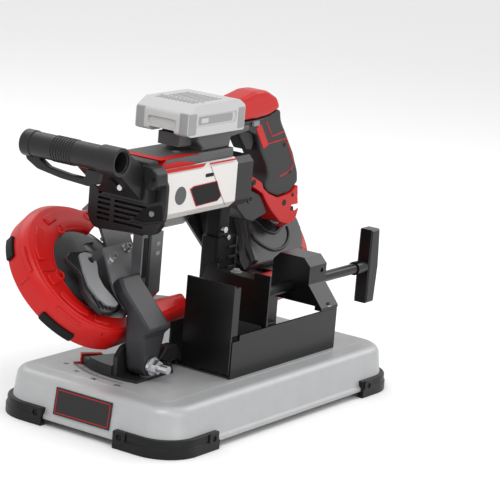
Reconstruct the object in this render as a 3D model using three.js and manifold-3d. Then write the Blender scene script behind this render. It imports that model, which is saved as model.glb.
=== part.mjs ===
// A benchtop horizontal band saw: a battery saw head hinged on a pressed base with a screw vise.
// Millimetres, +Z up, +X along the blade's cutting run from the idler wheel to the drive wheel.
// The design is drawn from the near left foot of the vise channel, with z = 0 on the base top,
// and the last lines shift it so that the origin lies under the middle of the whole machine.
import * as THREE from "three";
import { mergeVertices } from "three/addons/utils/BufferGeometryUtils.js";
import Module from "manifold-3d";

const wasm = await Module();
wasm.setup();

// ---- driving dimensions -------------------------------------------------------------------
const GAP = 0.3; // clearance between pieces that touch

// base pan
const PAN_LENGTH = 483;
const PAN_DEPTH = 264;
const PAN_CENTRE = [74.85, 90.05];
const PAN_CORNER = 45;
const PAN_HEIGHT = 50;
const PAN_WALL = 3;
const FOOT_DROP = 8;

// blade run and wheels, in the head's tilted plane (x, u) with n along the wheel axles
const BLADE_Y = 118;
const BLADE_Z = 53.6;
const PLANE_TILT = Math.PI / 4;
const WHEEL_RADIUS = 72;
const IDLER_X = -84;
const DRIVE_X = 260;
const WHEEL_U = WHEEL_RADIUS;
const BLADE_WIDTH = 13;
const BLADE_THICK = 0.8;
const COVER_RADIUS = 95;
const COVER_NEAR = 20;
const COVER_FAR = -14;

// swivel and head hinge
const SWIVEL = [5, 92];
const SWIVEL_RADIUS = 111;
const POINTER_ANGLE = 143.5; // about the swivel, where the scale on the pan reads 0
const SHELF_TOP = 15;
const TAB_TOP = 11;
const LOCK_RADIUS = 33.2;
const LOCK_ANGLE = 201;
const HINGE_X = -78.4;
const HINGE_Z = 18.5;

// vise
const CHANNEL_LENGTH = 227;
const CHANNEL_DEPTH = 93;
const HOUSING_X = 190;
const CHANNEL_HEIGHT = 52.6;
const SHEET = 3;
const JAW_X = 70;
const SCREW_Y = 50;
const SCREW_Z = 76;
const SCREW_RADIUS = 7;

// motor unit and handles
const BODY_Y = 117;
const SHELL_Z = [183, 246];
const SHELL_X = [-54, 96];
const SHELL_HALF = 37;
const HANDLE_X = -141;
const HANDLE_Z = 266;
const HANDLE_RADIUS = 15;
const GRIP_HALF = 16;

// colours
const FINISH = {
  red: { color: 0xd0221f, roughness: 0.45, metalness: 0 },
  shell: { color: 0xe4e2df, roughness: 0.5, metalness: 0 },
  pan: { color: 0xb9bbba, roughness: 0.45, metalness: 0.3 },
  plastic: { color: 0x3a3a3c, roughness: 0.6, metalness: 0 },
  rubber: { color: 0x1b1b1c, roughness: 0.8, metalness: 0 },
  casting: { color: 0x4a4a4d, roughness: 0.5, metalness: 0.4 },
  vise: { color: 0x141414, roughness: 0.4, metalness: 0.3 },
  pack: { color: 0xcfcfcf, roughness: 0.6, metalness: 0 },
  cap: { color: 0x9c9c9e, roughness: 0.5, metalness: 0.1 },
  steel: { color: 0xb8b8bc, roughness: 0.3, metalness: 1 },
  aluminium: { color: 0xa9abad, roughness: 0.4, metalness: 0.9 },
};

// ---- solids -------------------------------------------------------------------------------
const solidOf = (geometry) => {
  const bare = geometry.clone();
  bare.deleteAttribute("normal");
  bare.deleteAttribute("uv");
  const merged = mergeVertices(bare, 1e-3);
  const mesh = new wasm.Mesh({
    numProp: 3,
    vertProperties: merged.attributes.position.array,
    triVerts: new Uint32Array(merged.index.array),
  });
  return new wasm.Manifold(mesh);
};

const geometryOf = (solid) => {
  const mesh = solid.getMesh();
  const geometry = new THREE.BufferGeometry();
  geometry.setAttribute("position", new THREE.BufferAttribute(mesh.vertProperties, 3));
  geometry.setIndex(new THREE.BufferAttribute(mesh.triVerts, 1));
  return geometry;
};

const join = (first, ...others) => others.reduce((sum, other) => sum.add(other), first);
const cut = (first, ...others) => others.reduce((rest, other) => rest.subtract(other), first);
const moved = (solid, matrix) => solidOf(geometryOf(solid).applyMatrix4(matrix));

// An outline through corners [x, y, setback]; a setback rounds the corner off.
const outline = (corners) => {
  const shape = new THREE.Shape();
  corners.forEach(([x, y, setback = 0], i) => {
    const corner = new THREE.Vector2(x, y);
    const reach = (other) =>
      new THREE.Vector2(other[0], other[1]).sub(corner).setLength(setback).add(corner);
    const start = setback ? reach(corners.at(i - 1)) : corner;
    if (i === 0) shape.moveTo(start.x, start.y);
    else shape.lineTo(start.x, start.y);
    if (!setback) return;
    const end = reach(corners[(i + 1) % corners.length]);
    shape.quadraticCurveTo(x, y, end.x, end.y);
  });
  shape.closePath();
  return shape;
};

// Points of an arc about (x, y), angles in degrees, as outline corners.
const arc = (x, y, radius, from, to, steps = 12) =>
  Array.from({ length: steps + 1 }, (_, i) => {
    const angle = THREE.MathUtils.degToRad(from + ((to - from) * i) / steps);
    return [x + radius * Math.cos(angle), y + radius * Math.sin(angle)];
  });

const disc = (x, y, radius, steps = 24) => arc(x, y, radius, 0, 360 - 360 / steps, steps - 1);
const box2 = (x0, y0, x1, y1, setback = 0) => [
  [x0, y0, setback],
  [x1, y0, setback],
  [x1, y1, setback],
  [x0, y1, setback],
];

// Prisms of an outline between two levels of Z, X or Y; edge is a bevel on both end faces, and
// a prism that has one keeps its outline's corners sharp.
const extrude = (corners, length, edge) =>
  new THREE.ExtrudeGeometry(outline(edge ? corners.map(([x, y]) => [x, y]) : corners), {
    depth: length - 2 * edge,
    steps: 1,
    curveSegments: 3,
    bevelEnabled: edge > 0,
    bevelThickness: edge,
    bevelSize: edge,
    bevelOffset: -edge,
    bevelSegments: 1,
  }).translate(0, 0, edge);

const prismZ = (corners, z0, z1, edge = 0) =>
  solidOf(extrude(corners, z1 - z0, edge).translate(0, 0, z0));

const CYCLE = new THREE.Matrix4().makeBasis(
  new THREE.Vector3(0, 1, 0),
  new THREE.Vector3(0, 0, 1),
  new THREE.Vector3(1, 0, 0),
);
const prismX = (corners, x0, x1, edge = 0) =>
  solidOf(extrude(corners, x1 - x0, edge).applyMatrix4(CYCLE).translate(x0, 0, 0));

const prismY = (corners, y0, y1, edge = 0) =>
  solidOf(
    extrude(corners, y1 - y0, edge)
      .rotateX(Math.PI / 2)
      .translate(0, y1, 0),
  );

const block = (x0, x1, y0, y1, z0, z1, setback = 0) =>
  prismZ(box2(x0, y0, x1, y1, setback), z0, z1);

// A turned piece about the Z axis through (x, y) from a profile of [radius, z] points.
const turned = (x, y, profile, steps = 24) => {
  const points = profile.map(([radius, z]) => new THREE.Vector2(radius, z));
  const geometry = new THREE.LatheGeometry(points, steps);
  return solidOf(geometry.rotateX(Math.PI / 2).translate(x, y, 0));
};

const rodZ = (x, y, radius, z0, z1, steps) =>
  turned(x, y, [[0, z0], [radius, z0], [radius, z1], [0, z1]], steps);

const rodX = (y, z, radius, x0, x1, steps) => {
  const turn = new THREE.Matrix4().makeRotationY(Math.PI / 2).setPosition(x0, y, z);
  return moved(rodZ(0, 0, radius, 0, x1 - x0, steps), turn);
};

const rodY = (x, z, radius, y0, y1, steps) => {
  const turn = new THREE.Matrix4().makeRotationX(-Math.PI / 2).setPosition(x, y0, z);
  return moved(rodZ(0, 0, radius, 0, y1 - y0, steps), turn);
};

// A closed skin through rings of points that all have the same count, capped at both ends.
const loft = (rings, closed = false) => {
  const count = rings[0].length;
  const index = [];
  const spans = closed ? rings.length : rings.length - 1;
  for (let i = 0; i < spans; i++) {
    const next = (i + 1) % rings.length;
    for (let j = 0; j < count; j++) {
      const k = (j + 1) % count;
      index.push(i * count + j, i * count + k, next * count + k);
      index.push(i * count + j, next * count + k, next * count + j);
    }
  }
  if (!closed) {
    const last = (rings.length - 1) * count;
    for (let j = 1; j < count - 1; j++) {
      index.push(0, j + 1, j);
      index.push(last, last + j, last + j + 1);
    }
  }
  const geometry = new THREE.BufferGeometry();
  geometry.setAttribute("position", new THREE.Float32BufferAttribute(rings.flat(2), 3));
  geometry.setIndex(index);
  return solidOf(geometry);
};

// ---- scene graph --------------------------------------------------------------------------
const saw = new THREE.Group();
const head = new THREE.Group(); // local (x, y, z) = (x, u, n)
head.rotation.x = PLANE_TILT;
head.position.set(0, BLADE_Y, BLADE_Z);
head.updateMatrix();
saw.add(head);
const TO_WORLD = head.matrix.clone();
const TO_HEAD = head.matrix.clone().invert();

const add = (group, name, finish, solid) => {
  const mesh = new THREE.Mesh(geometryOf(solid), new THREE.MeshStandardMaterial(FINISH[finish]));
  mesh.name = name;
  group.add(mesh);
};

// ---- base ---------------------------------------------------------------------------------
// One level of the pan: a rounded rectangle drawn in by inset.
const panRing = (inset, z) => {
  const halfX = PAN_LENGTH / 2 - inset;
  const halfY = PAN_DEPTH / 2 - inset;
  const radius = Math.max(PAN_CORNER - inset, 6);
  const corners = [
    [halfX - radius, halfY - radius, 0],
    [radius - halfX, halfY - radius, 90],
    [radius - halfX, radius - halfY, 180],
    [halfX - radius, radius - halfY, 270],
  ];
  return corners.flatMap(([x, y, start]) =>
    arc(PAN_CENTRE[0] + x, PAN_CENTRE[1] + y, radius, start, start + 90, 6).map((p) => [...p, z]),
  );
};

const FILLET = 12;
const panOuter = (grow) =>
  loft([
    panRing(-grow, -PAN_HEIGHT - grow),
    panRing(-grow, 5 - PAN_HEIGHT),
    panRing(3 - grow, 7 - PAN_HEIGHT),
    panRing(7 - grow, -FILLET),
    ...[30, 60, 90].map((degrees) => {
      const angle = THREE.MathUtils.degToRad(degrees);
      return panRing(7 - grow + FILLET * (1 - Math.cos(angle)), grow - FILLET * (1 - Math.sin(angle)));
    }),
  ]);

const panInner = () =>
  loft([
    panRing(PAN_WALL, -PAN_HEIGHT - 1),
    panRing(PAN_WALL + 3, 6 - PAN_HEIGHT),
    panRing(PAN_WALL + 7, -FILLET),
    panRing(PAN_WALL + 7 + FILLET / 2, -PAN_WALL),
  ]);

const LOCK_PLACE = arc(...SWIVEL, LOCK_RADIUS, LOCK_ANGLE, LOCK_ANGLE, 1)[0];
add(
  saw,
  "base_pan",
  "pan",
  cut(
    panOuter(0),
    panInner(),
    rodZ(...SWIVEL, 3.4, -10, 1, 16),
    rodZ(...LOCK_PLACE, 4.4, -10, 1, 16),
  ),
);

// A corner foot: a proud two-step band round the lip with a sole under it.
const footBand = loft([
  panRing(-4, -PAN_HEIGHT - FOOT_DROP),
  panRing(-4, -46),
  panRing(-2.5, -45),
  panRing(-2.5, -38),
  panRing(0, -36.5),
]);
const footCore = join(
  panOuter(GAP),
  loft([panRing(24, -60), panRing(24, -45)]),
);
const footRing = cut(footBand, footCore);
const FEET = {
  front_left_foot: [-1, -1, 90, 83],
  rear_left_foot: [-1, 1, 74, 78],
  front_right_foot: [1, -1, 82, 70],
  rear_right_foot: [1, 1, 70, 70],
};
for (const [name, [sideX, sideY, legX, legY]] of Object.entries(FEET)) {
  const x = PAN_CENTRE[0] + sideX * (PAN_LENGTH / 2 + 5);
  const y = PAN_CENTRE[1] + sideY * (PAN_DEPTH / 2 + 5);
  const inX = x - sideX * legX;
  const inY = y - sideY * legY;
  const corner = block(Math.min(x, inX), Math.max(x, inX), Math.min(y, inY), Math.max(y, inY), -60, -20);
  add(saw, name, "rubber", footRing.intersect(corner));
}

// the plain plate on the left wall of the pan, following its slope
const PLATE = { y: [50, 133], z: [-41, -9], thick: 1.2 };
const wallX = (z) => PAN_CENTRE[0] - PAN_LENGTH / 2 + 3 + (4 * (z + 43)) / 31;
add(
  saw,
  "badge_plate",
  "plastic",
  prismY(
    [
      [wallX(PLATE.z[0]) - GAP, PLATE.z[0]],
      [wallX(PLATE.z[1]) - GAP, PLATE.z[1]],
      [wallX(PLATE.z[1]) - GAP - PLATE.thick, PLATE.z[1]],
      [wallX(PLATE.z[0]) - GAP - PLATE.thick, PLATE.z[0]],
    ],
    ...PLATE.y,
  ),
);

// ---- swivel table -------------------------------------------------------------------------
// post: a shouldered bolt through the pan, the swivel tongue and the channel floor
add(
  saw,
  "swivel_post",
  "steel",
  turned(...SWIVEL, [[0, -9], [7, -9], [7, -3.4], [3, -3.4], [3, 8.4], [5.5, 8.4], [5.5, 12], [0, 12]], 20),
);

const swivelBody = () => {
  const tongue = prismZ(
    [
      [-2, 85.5],
      ...arc(...SWIVEL, 6.4, -90, 90, 8),
      [-2, 98.5],
      [-20, 118],
      ...arc(...SWIVEL, SWIVEL_RADIUS, 138, 196, 12),
      [-30, 62],
    ],
    0.4,
    3.6,
  );
  const shelf = prismZ(
    [[-56, 97], [-56, 127, 6], ...arc(...SWIVEL, SWIVEL_RADIUS, 155, 177.5, 5)],
    2,
    SHELF_TOP,
  );
  const tab = prismZ(
    [[-60, 125], [-62, 148, 4], ...arc(...SWIVEL, SWIVEL_RADIUS, 139, 157, 4)],
    2,
    TAB_TOP,
  );
  const lug = prismY([[-104, 2], [-56, 2], [-56, 20], [-66, 39, 6], [-93, 39, 8], [-104, 26]], 90, 96.5);
  const slot = prismZ(
    [
      ...arc(...SWIVEL, LOCK_RADIUS + 4.6, LOCK_ANGLE - 53, LOCK_ANGLE + 8, 10),
      ...arc(...SWIVEL, LOCK_RADIUS - 4.6, LOCK_ANGLE + 8, LOCK_ANGLE - 53, 10),
    ],
    0,
    5,
  );
  return cut(
    join(tongue, shelf, tab, lug),
    slot,
    rodZ(...SWIVEL, 3.4, -1, 20, 16),
    rodY(HINGE_X, HINGE_Z, 5.4, 80, 100, 16),
    rodY(HINGE_X, HINGE_Z, 9.5, 96.4, 106, 20),
  );
};
add(saw, "swivel_bracket", "plastic", swivelBody());

// the pointer: a bent strip on the bracket's tab, with its foot over the scale on the pan
const pointer = () => {
  const [near, far] = [SWIVEL_RADIUS + GAP, SWIVEL_RADIUS + 1.5];
  const strip = block(SWIVEL_RADIUS - 24, far, -3.2, 3.2, TAB_TOP + GAP, TAB_TOP + 2);
  const leg = block(near, far, -2.4, 2.4, 0.6, TAB_TOP + 1);
  const foot = prismZ([[near, -2.4], [far + 9, -0.7], [far + 9, 0.7], [near, 2.4]], 0.6, 2.2);
  const place = new THREE.Matrix4().makeRotationZ(THREE.MathUtils.degToRad(POINTER_ANGLE));
  return moved(join(strip, leg, foot), place.setPosition(...SWIVEL, 0));
};
add(saw, "angle_pointer", "red", pointer());

// hinge bolt: head behind the lug, shank through lug and arm, thread standing out in front
add(
  saw,
  "hinge_bolt",
  "steel",
  join(rodY(HINGE_X, HINGE_Z, 5, 34, 97, 16), rodY(HINGE_X, HINGE_Z, 8.5, 96.8, 103, 6)),
);
add(
  saw,
  "hinge_nut",
  "steel",
  cut(
    join(rodY(HINGE_X, HINGE_Z, 8.5, 48, 56.5, 6), rodY(HINGE_X, HINGE_Z, 11, 56.3, 59.4, 20)),
    rodY(HINGE_X, HINGE_Z, 5.3, 40, 62, 16),
  ),
);

// angle lock: a stud from under the pan through the arc slot in the tongue, with a wedge knob
const lockKnob = () => {
  const [x, y] = LOCK_PLACE;
  return join(
    turned(
      x,
      y,
      [[0, -9], [7, -9], [7, -3.4], [4, -3.4], [4, 4.2], [8, 4.2], [8, 8], [5, 8], [5, 14], [0, 14]],
      16,
    ),
    prismY(
      [[x - 20, 18], [x - 6, 12], [x + 14, 12], [x + 19, 20], [x + 12, 30], [x - 8, 30]],
      y - 9,
      y + 6,
      1,
    ),
  );
};
add(saw, "angle_lock_knob", "plastic", lockKnob());

// ---- head frame ---------------------------------------------------------------------------
const SPINE_U = [118, 166];
const LEVER = [-96, 74];

// The dark casting that carries both wheels: a disc behind each and a beam over the return run.
const frame = () => {
  const plate = [12, 16.4];
  const left = prismZ(disc(IDLER_X, WHEEL_U, 54, 36), ...plate);
  const right = prismZ(disc(DRIVE_X, WHEEL_U, 60, 36), ...plate);
  const beam = [
    [-20, SPINE_U[0]], [232, SPINE_U[0]], [232, SPINE_U[1]], [6, SPINE_U[1]], [6, 128],
    [-20, 126],
  ];
  const spine = prismZ(beam, ...plate);
  const rim = prismZ(box2(6, SPINE_U[1] - 5, 176, SPINE_U[1]), COVER_FAR, plate[1]);
  const lip = prismZ(box2(6, SPINE_U[0], 176, SPINE_U[0] + 4), COVER_FAR, plate[1]);
  const web = prismZ(
    [[-60, 22], [-50, -7], [43, -7], [43, 9], [2, 20], [8, 70], [30, 119], [-20, 122]],
    ...plate,
  );
  const boss = prismZ(box2(-62, 44, -17, 82, 6), 14, 34.6);
  const neck = moved(
    prismX(
      [[103, 90], [112, 79.5], [125, 79.5], [125, 90], [119, 95], [119, 164.4], [103, 164.4]],
      -53.6,
      -13,
      1,
    ),
    TO_HEAD,
  );
  const lobe = rodZ(LEVER[0], LEVER[1], 9, 14, 29.4, 16);
  const pin = rodZ(LEVER[0], LEVER[1], 4, 14, 42, 16);
  return cut(
    join(left, right, web, spine, rim, lip, boss, neck, lobe, pin),
    rodZ(DRIVE_X, WHEEL_U, 9.5, 0, 30, 20),
    rodZ(IDLER_X, WHEEL_U, 6.4, 0, 30, 20),
    prismZ(box2(IDLER_X + 16, WHEEL_U + 22, IDLER_X + 36, WHEEL_U + 34, 3), 0, 30),
  );
};
add(head, "head_frame", "plastic", frame());

const armPlate = [
  [-66, 86, 3],
  [-13, 86, 3],
  [-13, 41, 3],
  [-54, 41],
  [-54, 2, 6],
  [-92, 2, 6],
  [-92, 30, 6],
];
add(head, "arm_plate", "aluminium", prismZ(armPlate, 35, 38));

// The arm: upright round the hinge bolt, then leaning back along the head.
const arm = () => {
  const upright = prismY(
    [...arc(HINGE_X, HINGE_Z, 14, 180, 360, 10), [-54, 50], [-54, 84], [-98, 84], [-98, 50]],
    60.3,
    87.5,
    2,
  );
  const leaning = moved(
    prismZ([[-97, -40], [-54, -40], [-54, 38], [-90, 38], [-97, 20]], 38.4, 55, 2),
    TO_WORLD,
  );
  const front = prismX([[60, 0], [87.8, 0], [87.8, 93], [60, 68]], -110, -40);
  const clear = moved(prismZ(box2(-120, -23, 60, 140), -40, 21), TO_WORLD);
  const bore = rodY(HINGE_X, HINGE_Z, 5.4, 50, 100, 16);
  return cut(join(upright.intersect(front), leaning), clear, bore);
};
add(saw, "head_arm", "casting", arm());

// ---- wheels and blade ---------------------------------------------------------------------
const spokeHoles = (x) =>
  [0, 72, 144, 216, 288].map((degrees) => {
    const angle = THREE.MathUtils.degToRad(degrees);
    return rodZ(x + 38 * Math.cos(angle), WHEEL_U + 38 * Math.sin(angle), 13, -12, 12, 10);
  });

const wheel = (x, bore) =>
  cut(
    turned(
      x,
      WHEEL_U,
      [
        [bore, -9], [17, -9], [17, -3], [60, -3], [60, -8], [69, -8], [69, 8], [60, 8],
        [60, 3], [17, 3], [17, 9], [bore, 9], [bore, -9],
      ],
      36,
    ),
    ...spokeHoles(x),
  );
const tyre = (x) =>
  turned(x, WHEEL_U, [[69.3, -7.5], [71.2, -7.5], [71.2, 7.5], [69.3, 7.5], [69.3, -7.5]], 36);

add(head, "idler_wheel", "aluminium", wheel(IDLER_X, 6.3));
add(head, "idler_tyre", "rubber", tyre(IDLER_X));
add(
  head,
  "idler_axle",
  "steel",
  turned(IDLER_X, WHEEL_U, [[0, -12], [10, -12], [10, -9.4], [6, -9.4], [6, 9.4], [6, 18], [0, 18]], 20),
);
add(head, "drive_wheel", "aluminium", wheel(DRIVE_X, 8.3));
add(head, "drive_tyre", "rubber", tyre(DRIVE_X));
add(
  head,
  "drive_shaft",
  "steel",
  turned(DRIVE_X, WHEEL_U, [[0, -12], [11, -12], [11, -9.4], [8, -9.4], [8, 30], [0, 30]], 20),
);

// The blade: round both wheels with its teeth facing away, and twisted upright for the cut.
const bladePath = () => {
  const points = [];
  const runSteps = 24;
  const turnSteps = 18;
  const span = DRIVE_X - IDLER_X;
  for (let i = 0; i < runSteps; i++) points.push([IDLER_X + (span * i) / runSteps, 0, 0, -1]);
  for (let i = 0; i < turnSteps; i++) {
    const angle = Math.PI * (i / turnSteps - 0.5);
    const across = WHEEL_RADIUS * Math.cos(angle);
    points.push(
      [DRIVE_X + across, WHEEL_U + WHEEL_RADIUS * Math.sin(angle), Math.cos(angle), Math.sin(angle)],
    );
  }
  for (let i = 0; i < 8; i++) points.push([DRIVE_X - (span * i) / 8, 2 * WHEEL_RADIUS, 0, 1]);
  for (let i = 0; i < turnSteps; i++) {
    const angle = Math.PI * (i / turnSteps + 0.5);
    const across = WHEEL_RADIUS * Math.cos(angle);
    points.push(
      [IDLER_X + across, WHEEL_U + WHEEL_RADIUS * Math.sin(angle), Math.cos(angle), Math.sin(angle)],
    );
  }
  return points;
};
const bladeTwist = (x, u) => {
  if (u > 1) return 0;
  const rise = THREE.MathUtils.smoothstep(x, -50, 25);
  const fall = 1 - THREE.MathUtils.smoothstep(x, 128, 200);
  return -PLANE_TILT * Math.min(rise, fall);
};
const bladeRing = ([x, u, outX, outU]) => {
  const twist = bladeTwist(x, u);
  return [[-1, -1], [1, -1], [1, 1], [-1, 1]].map(([side, out]) => {
    const thick = (out * BLADE_THICK) / 2;
    const wide = (side * BLADE_WIDTH) / 2;
    const across = thick * Math.cos(twist);
    const lift = -thick * Math.sin(twist);
    return [
      x + across * outX,
      u + across * outU + wide * Math.sin(twist) * -1,
      wide * Math.cos(twist) - lift * outU,
    ];
  });
};
add(head, "blade", "steel", loft(bladePath().map(bladeRing), true));

// ---- wheel covers -------------------------------------------------------------------------
const LEFT_CENTRE = [IDLER_X, 74];
const RIGHT_CENTRE = [267, 77];
const COVER_WALL = 3;

const leftCover = () => {
  const inner = COVER_RADIUS - COVER_WALL;
  const mouth = arc(-76, 66, 63, 300, 60, 16);
  const body = prismZ(
    [
      ...arc(...LEFT_CENTRE, COVER_RADIUS, 60, 262, 26),
      [46, -13.5], [46, 14], [-40, 14], ...mouth, [-4, 136], [2, 150],
    ],
    COVER_FAR,
    COVER_NEAR,
  );
  const inside = prismZ(
    [
      ...arc(...LEFT_CENTRE, inner, 60, 262, 26),
      [60, -10.5], [60, 22], [-30, 22], ...mouth, [-8, 130], [14, 147.5],
    ],
    COVER_FAR - 1,
    COVER_NEAR - COVER_WALL,
  );
  return cut(body, inside);
};
add(head, "left_cover", "red", leftCover());

const rightCover = () => {
  const [x, u] = RIGHT_CENTRE;
  const band = (radius, low, high) => [
    [low, u - radius + 4],
    ...arc(x, u, radius, 270, 450, 22),
    [high, u + radius],
  ];
  const body = prismZ(band(COVER_RADIUS, 182, 236), COVER_FAR, COVER_NEAR + 1);
  const inside = prismZ(band(COVER_RADIUS - COVER_WALL, 150, 150), COVER_FAR - 1, COVER_NEAR - 2);
  const hole = prismZ([[150, 12], ...arc(x, u, 63, 270, 450, 20), [150, 140]], COVER_FAR - 1, 40);
  return cut(body, inside, hole);
};
add(head, "right_cover", "red", rightCover());

// the plate over the far side of the drive wheel, with its straight edge at the throat
add(
  head,
  "wheel_door",
  "plastic",
  prismZ(
    [[187, -14, 3], ...arc(...RIGHT_CENTRE, COVER_RADIUS - 1, 272, 448, 20), [187, 168, 3]],
    COVER_FAR - 3.4,
    COVER_FAR - 0.4,
  ),
);

const gearTeeth = (x, u, radius, teeth) =>
  Array.from({ length: teeth * 2 }, (_, i) => {
    const angle = (Math.PI * i) / teeth;
    const reach = i % 2 ? radius : radius - 2;
    return [x + reach * Math.cos(angle), u + reach * Math.sin(angle)];
  });

// the dark gear case in front of the drive wheel
const gearCase = () => {
  const face = [
    ...arc(272, 82, 66, 284, 415, 18),
    [250, 128, 8],
    [231, 101, 6],
    [213, 72, 6],
    [186, 34, 4],
    [184, 19, 3],
  ];
  const body = prismZ(face, 21.4, 34);
  const boss = rodZ(DRIVE_X + 4, 72, 12, 30, 50, 20);
  const hollow = rodZ(DRIVE_X, WHEEL_U, 26, 17, 30.6, 28);
  return cut(join(body, boss), hollow);
};
add(head, "gear_case", "casting", gearCase());
add(
  head,
  "drive_gear",
  "steel",
  cut(prismZ(gearTeeth(DRIVE_X, WHEEL_U, 24, 20), 18, 30), rodZ(DRIVE_X, WHEEL_U, 8.3, 10, 40, 20)),
);

// ---- blade guides -------------------------------------------------------------------------
// left: a slotted shoe inside the end of the left cover
add(
  saw,
  "left_guide_shoe",
  "steel",
  cut(block(20, 42, 111, 125, 45.5, 63.4), block(10, 50, BLADE_Y - 0.9, BLADE_Y + 0.9, 40, 60.6)),
);

// right: a block with a back roller on the blade's spine and a roller on each side of it
const SIDE_X = 111;
const BACK_X = 125;
const ROLLER = 5.5;
const BACK_ROLLER = 5;
const BACK_Z = BLADE_Z + BLADE_WIDTH / 2 + 0.4 + BACK_ROLLER;
const SIDE_Y = BLADE_THICK / 2 + GAP + ROLLER;
const guideBlock = () => {
  const ears = [106, 124].map((y) => block(BACK_X - 6, BACK_X + 6, y, y + 6, 61.5, 74));
  const sockets = [-1, 1].map((side) => rodZ(SIDE_X, BLADE_Y + side * SIDE_Y, 2.3, 50, 80, 12));
  return cut(
    join(
      block(104, 142, 105, 131, 73, 138, 4),
      block(108, 129.8, 108, 128, 137, 181.6, 3),
      ...ears,
    ),
    ...sockets,
    rodY(BACK_X, BACK_Z, 2.3, 100, 140, 12),
  );
};
add(saw, "right_guide_block", "plastic", guideBlock());
add(
  saw,
  "back_roller",
  "steel",
  join(rodY(BACK_X, BACK_Z, BACK_ROLLER, 113.5, 122.5, 20), rodY(BACK_X, BACK_Z, 2, 105, 131, 12)),
);
for (const [name, side] of [["near_side_roller", -1], ["far_side_roller", 1]]) {
  const y = BLADE_Y + side * SIDE_Y;
  add(saw, name, "steel", join(rodZ(SIDE_X, y, ROLLER, 48.5, 60.5, 20), rodZ(SIDE_X, y, 2, 60, 78, 12)));
}

// ---- tension lever ------------------------------------------------------------------------
const leverBody = () =>
  cut(
    prismZ(
      [
        [-141, 82, 6], [-112, 90, 4], [-86, 88, 10], [-82, 62, 10], [-99, 50, 6], [-99, 6, 4],
        [-122, 2, 6], [-138, 40, 8],
      ],
      30,
      37,
      1,
    ),
    rodZ(...LEVER, 4.4, 20, 50, 16),
  );
add(head, "tension_lever", "plastic", leverBody());
add(
  head,
  "lever_cap",
  "cap",
  cut(
    prismZ(
      [
        [-114, 84, 6], [-88, 84, 8], [-86, 64, 8], [-100, 46, 8], [-100, 10, 3], [-110, 10, 3],
        [-112, 50, 10],
      ],
      37.3,
      41,
      0.8,
    ),
    rodZ(...LEVER, 4.4, 20, 50, 16),
  ),
);

// ---- motor unit ---------------------------------------------------------------------------
const MOTOR_Z = 214.5;

// the vented end housing behind the front handle
const endHousing = () => {
  const section = (inset) => [
    [70 + inset, 190 + inset / 2, 6],
    [84 + inset / 2, 168 + inset, 6],
    [174 - inset / 2, 161 + inset, 8],
    [184 - inset, 174 + inset / 2, 6],
    [184 - inset, 228 - inset / 2, 6],
    [168 - inset / 2, 244 - inset, 6],
    [84 + inset / 2, 244 - inset, 6],
    [70 + inset, 232 - inset / 2, 6],
  ];
  const vents = Array.from({ length: 6 }, (_, row) => 173 + row * 6.2).flatMap((z, row) => [
    block(-62, -50, 151, 170, z, z + 3),
    block(-62, -50, 97 + 2 * Math.max(0, 2 - row), 145, z, z + 3),
  ]);
  return cut(
    prismX(section(0), -60, -20),
    prismX(section(3), -57, -10),
    block(-54.4, -10, 60, 190, 182.3, 260),
    block(-50.4, -10, 60, 102.6, 150, 182.4),
    ...vents,
  );
};
add(saw, "end_housing", "plastic", endHousing());

const shellSection = (side, inset) => {
  const edge = SHELL_HALF - inset;
  const [z0, z1] = [SHELL_Z[0] + inset, SHELL_Z[1] - inset];
  const half = [[0, z0], [edge - 9, z0], [edge, z0 + 9], [edge, z1 - 6], [edge - 6, z1], [0, z1]];
  return half.map(([y, z]) => [BODY_Y + side * (y + 0.2), z]);
};
const facing = (side, corners) => (side < 0 ? [...corners].reverse() : corners);
const motorShell = (side) =>
  cut(
    prismX(facing(side, shellSection(side, 0)), ...SHELL_X),
    prismX(facing(side, shellSection(side, 2.5)), SHELL_X[0] + 2.5, SHELL_X[1] - 2.5),
    block(SHELL_X[0] + 2.5, SHELL_X[1] - 2.5, BODY_Y - 6, BODY_Y + 6, SHELL_Z[0] + 2.5, SHELL_Z[1] - 2.5),
    rodX(BODY_Y, MOTOR_Z, 8, -60, 110, 20),
  );
add(saw, "motor_shell_near", "shell", motorShell(-1));
add(saw, "motor_shell_far", "shell", motorShell(1));

add(
  saw,
  "motor_can",
  "steel",
  cut(
    rodX(BODY_Y, MOTOR_Z, 26, -44, 62, 32),
    rodX(BODY_Y, MOTOR_Z, 20, -40, 58, 24),
    rodX(BODY_Y, MOTOR_Z, 4.4, -50, 70, 16),
  ),
);
add(
  saw,
  "motor_armature",
  "steel",
  join(
    rodX(BODY_Y, MOTOR_Z, 18.5, -30, 48, 24),
    rodX(BODY_Y, MOTOR_Z, 4, -50, 118, 16),
    rodX(BODY_Y, MOTOR_Z, 7, 104, 118, 16),
  ),
);

add(
  saw,
  "top_shell",
  "plastic",
  cut(
    prismY([[-57, 246.4], [92, 246.4], [92, 258, 3], [-44, 258, 4]], 84, 150, 2),
    prismY([[-50, 240], [88, 240], [88, 255.4], [-42, 255.4]], 87, 147),
  ),
);

const collarSection = (inset) => [
  [80 + inset, 192],
  [90, 182 + inset],
  [144, 182 + inset],
  [154 - inset, 192],
  [154 - inset, 238],
  [147, 245 - inset],
  [87, 245 - inset],
  [80 + inset, 238],
];
add(
  saw,
  "rear_collar",
  "plastic",
  cut(
    prismX(collarSection(0), 96.4, 130),
    prismX(collarSection(3), 90, 126),
    block(120, 140, 104, 130, 190, 222),
  ),
);
add(
  saw,
  "front_collar",
  "plastic",
  cut(
    prismX([[84, 208, 6], [150, 208, 6], [150, 258, 8], [84, 258, 8]], -80, -60.4, 1.5),
    prismX([[90, 214, 4], [144, 214, 4], [144, 251, 4], [90, 251, 4]], -76, -50),
  ),
);

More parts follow.
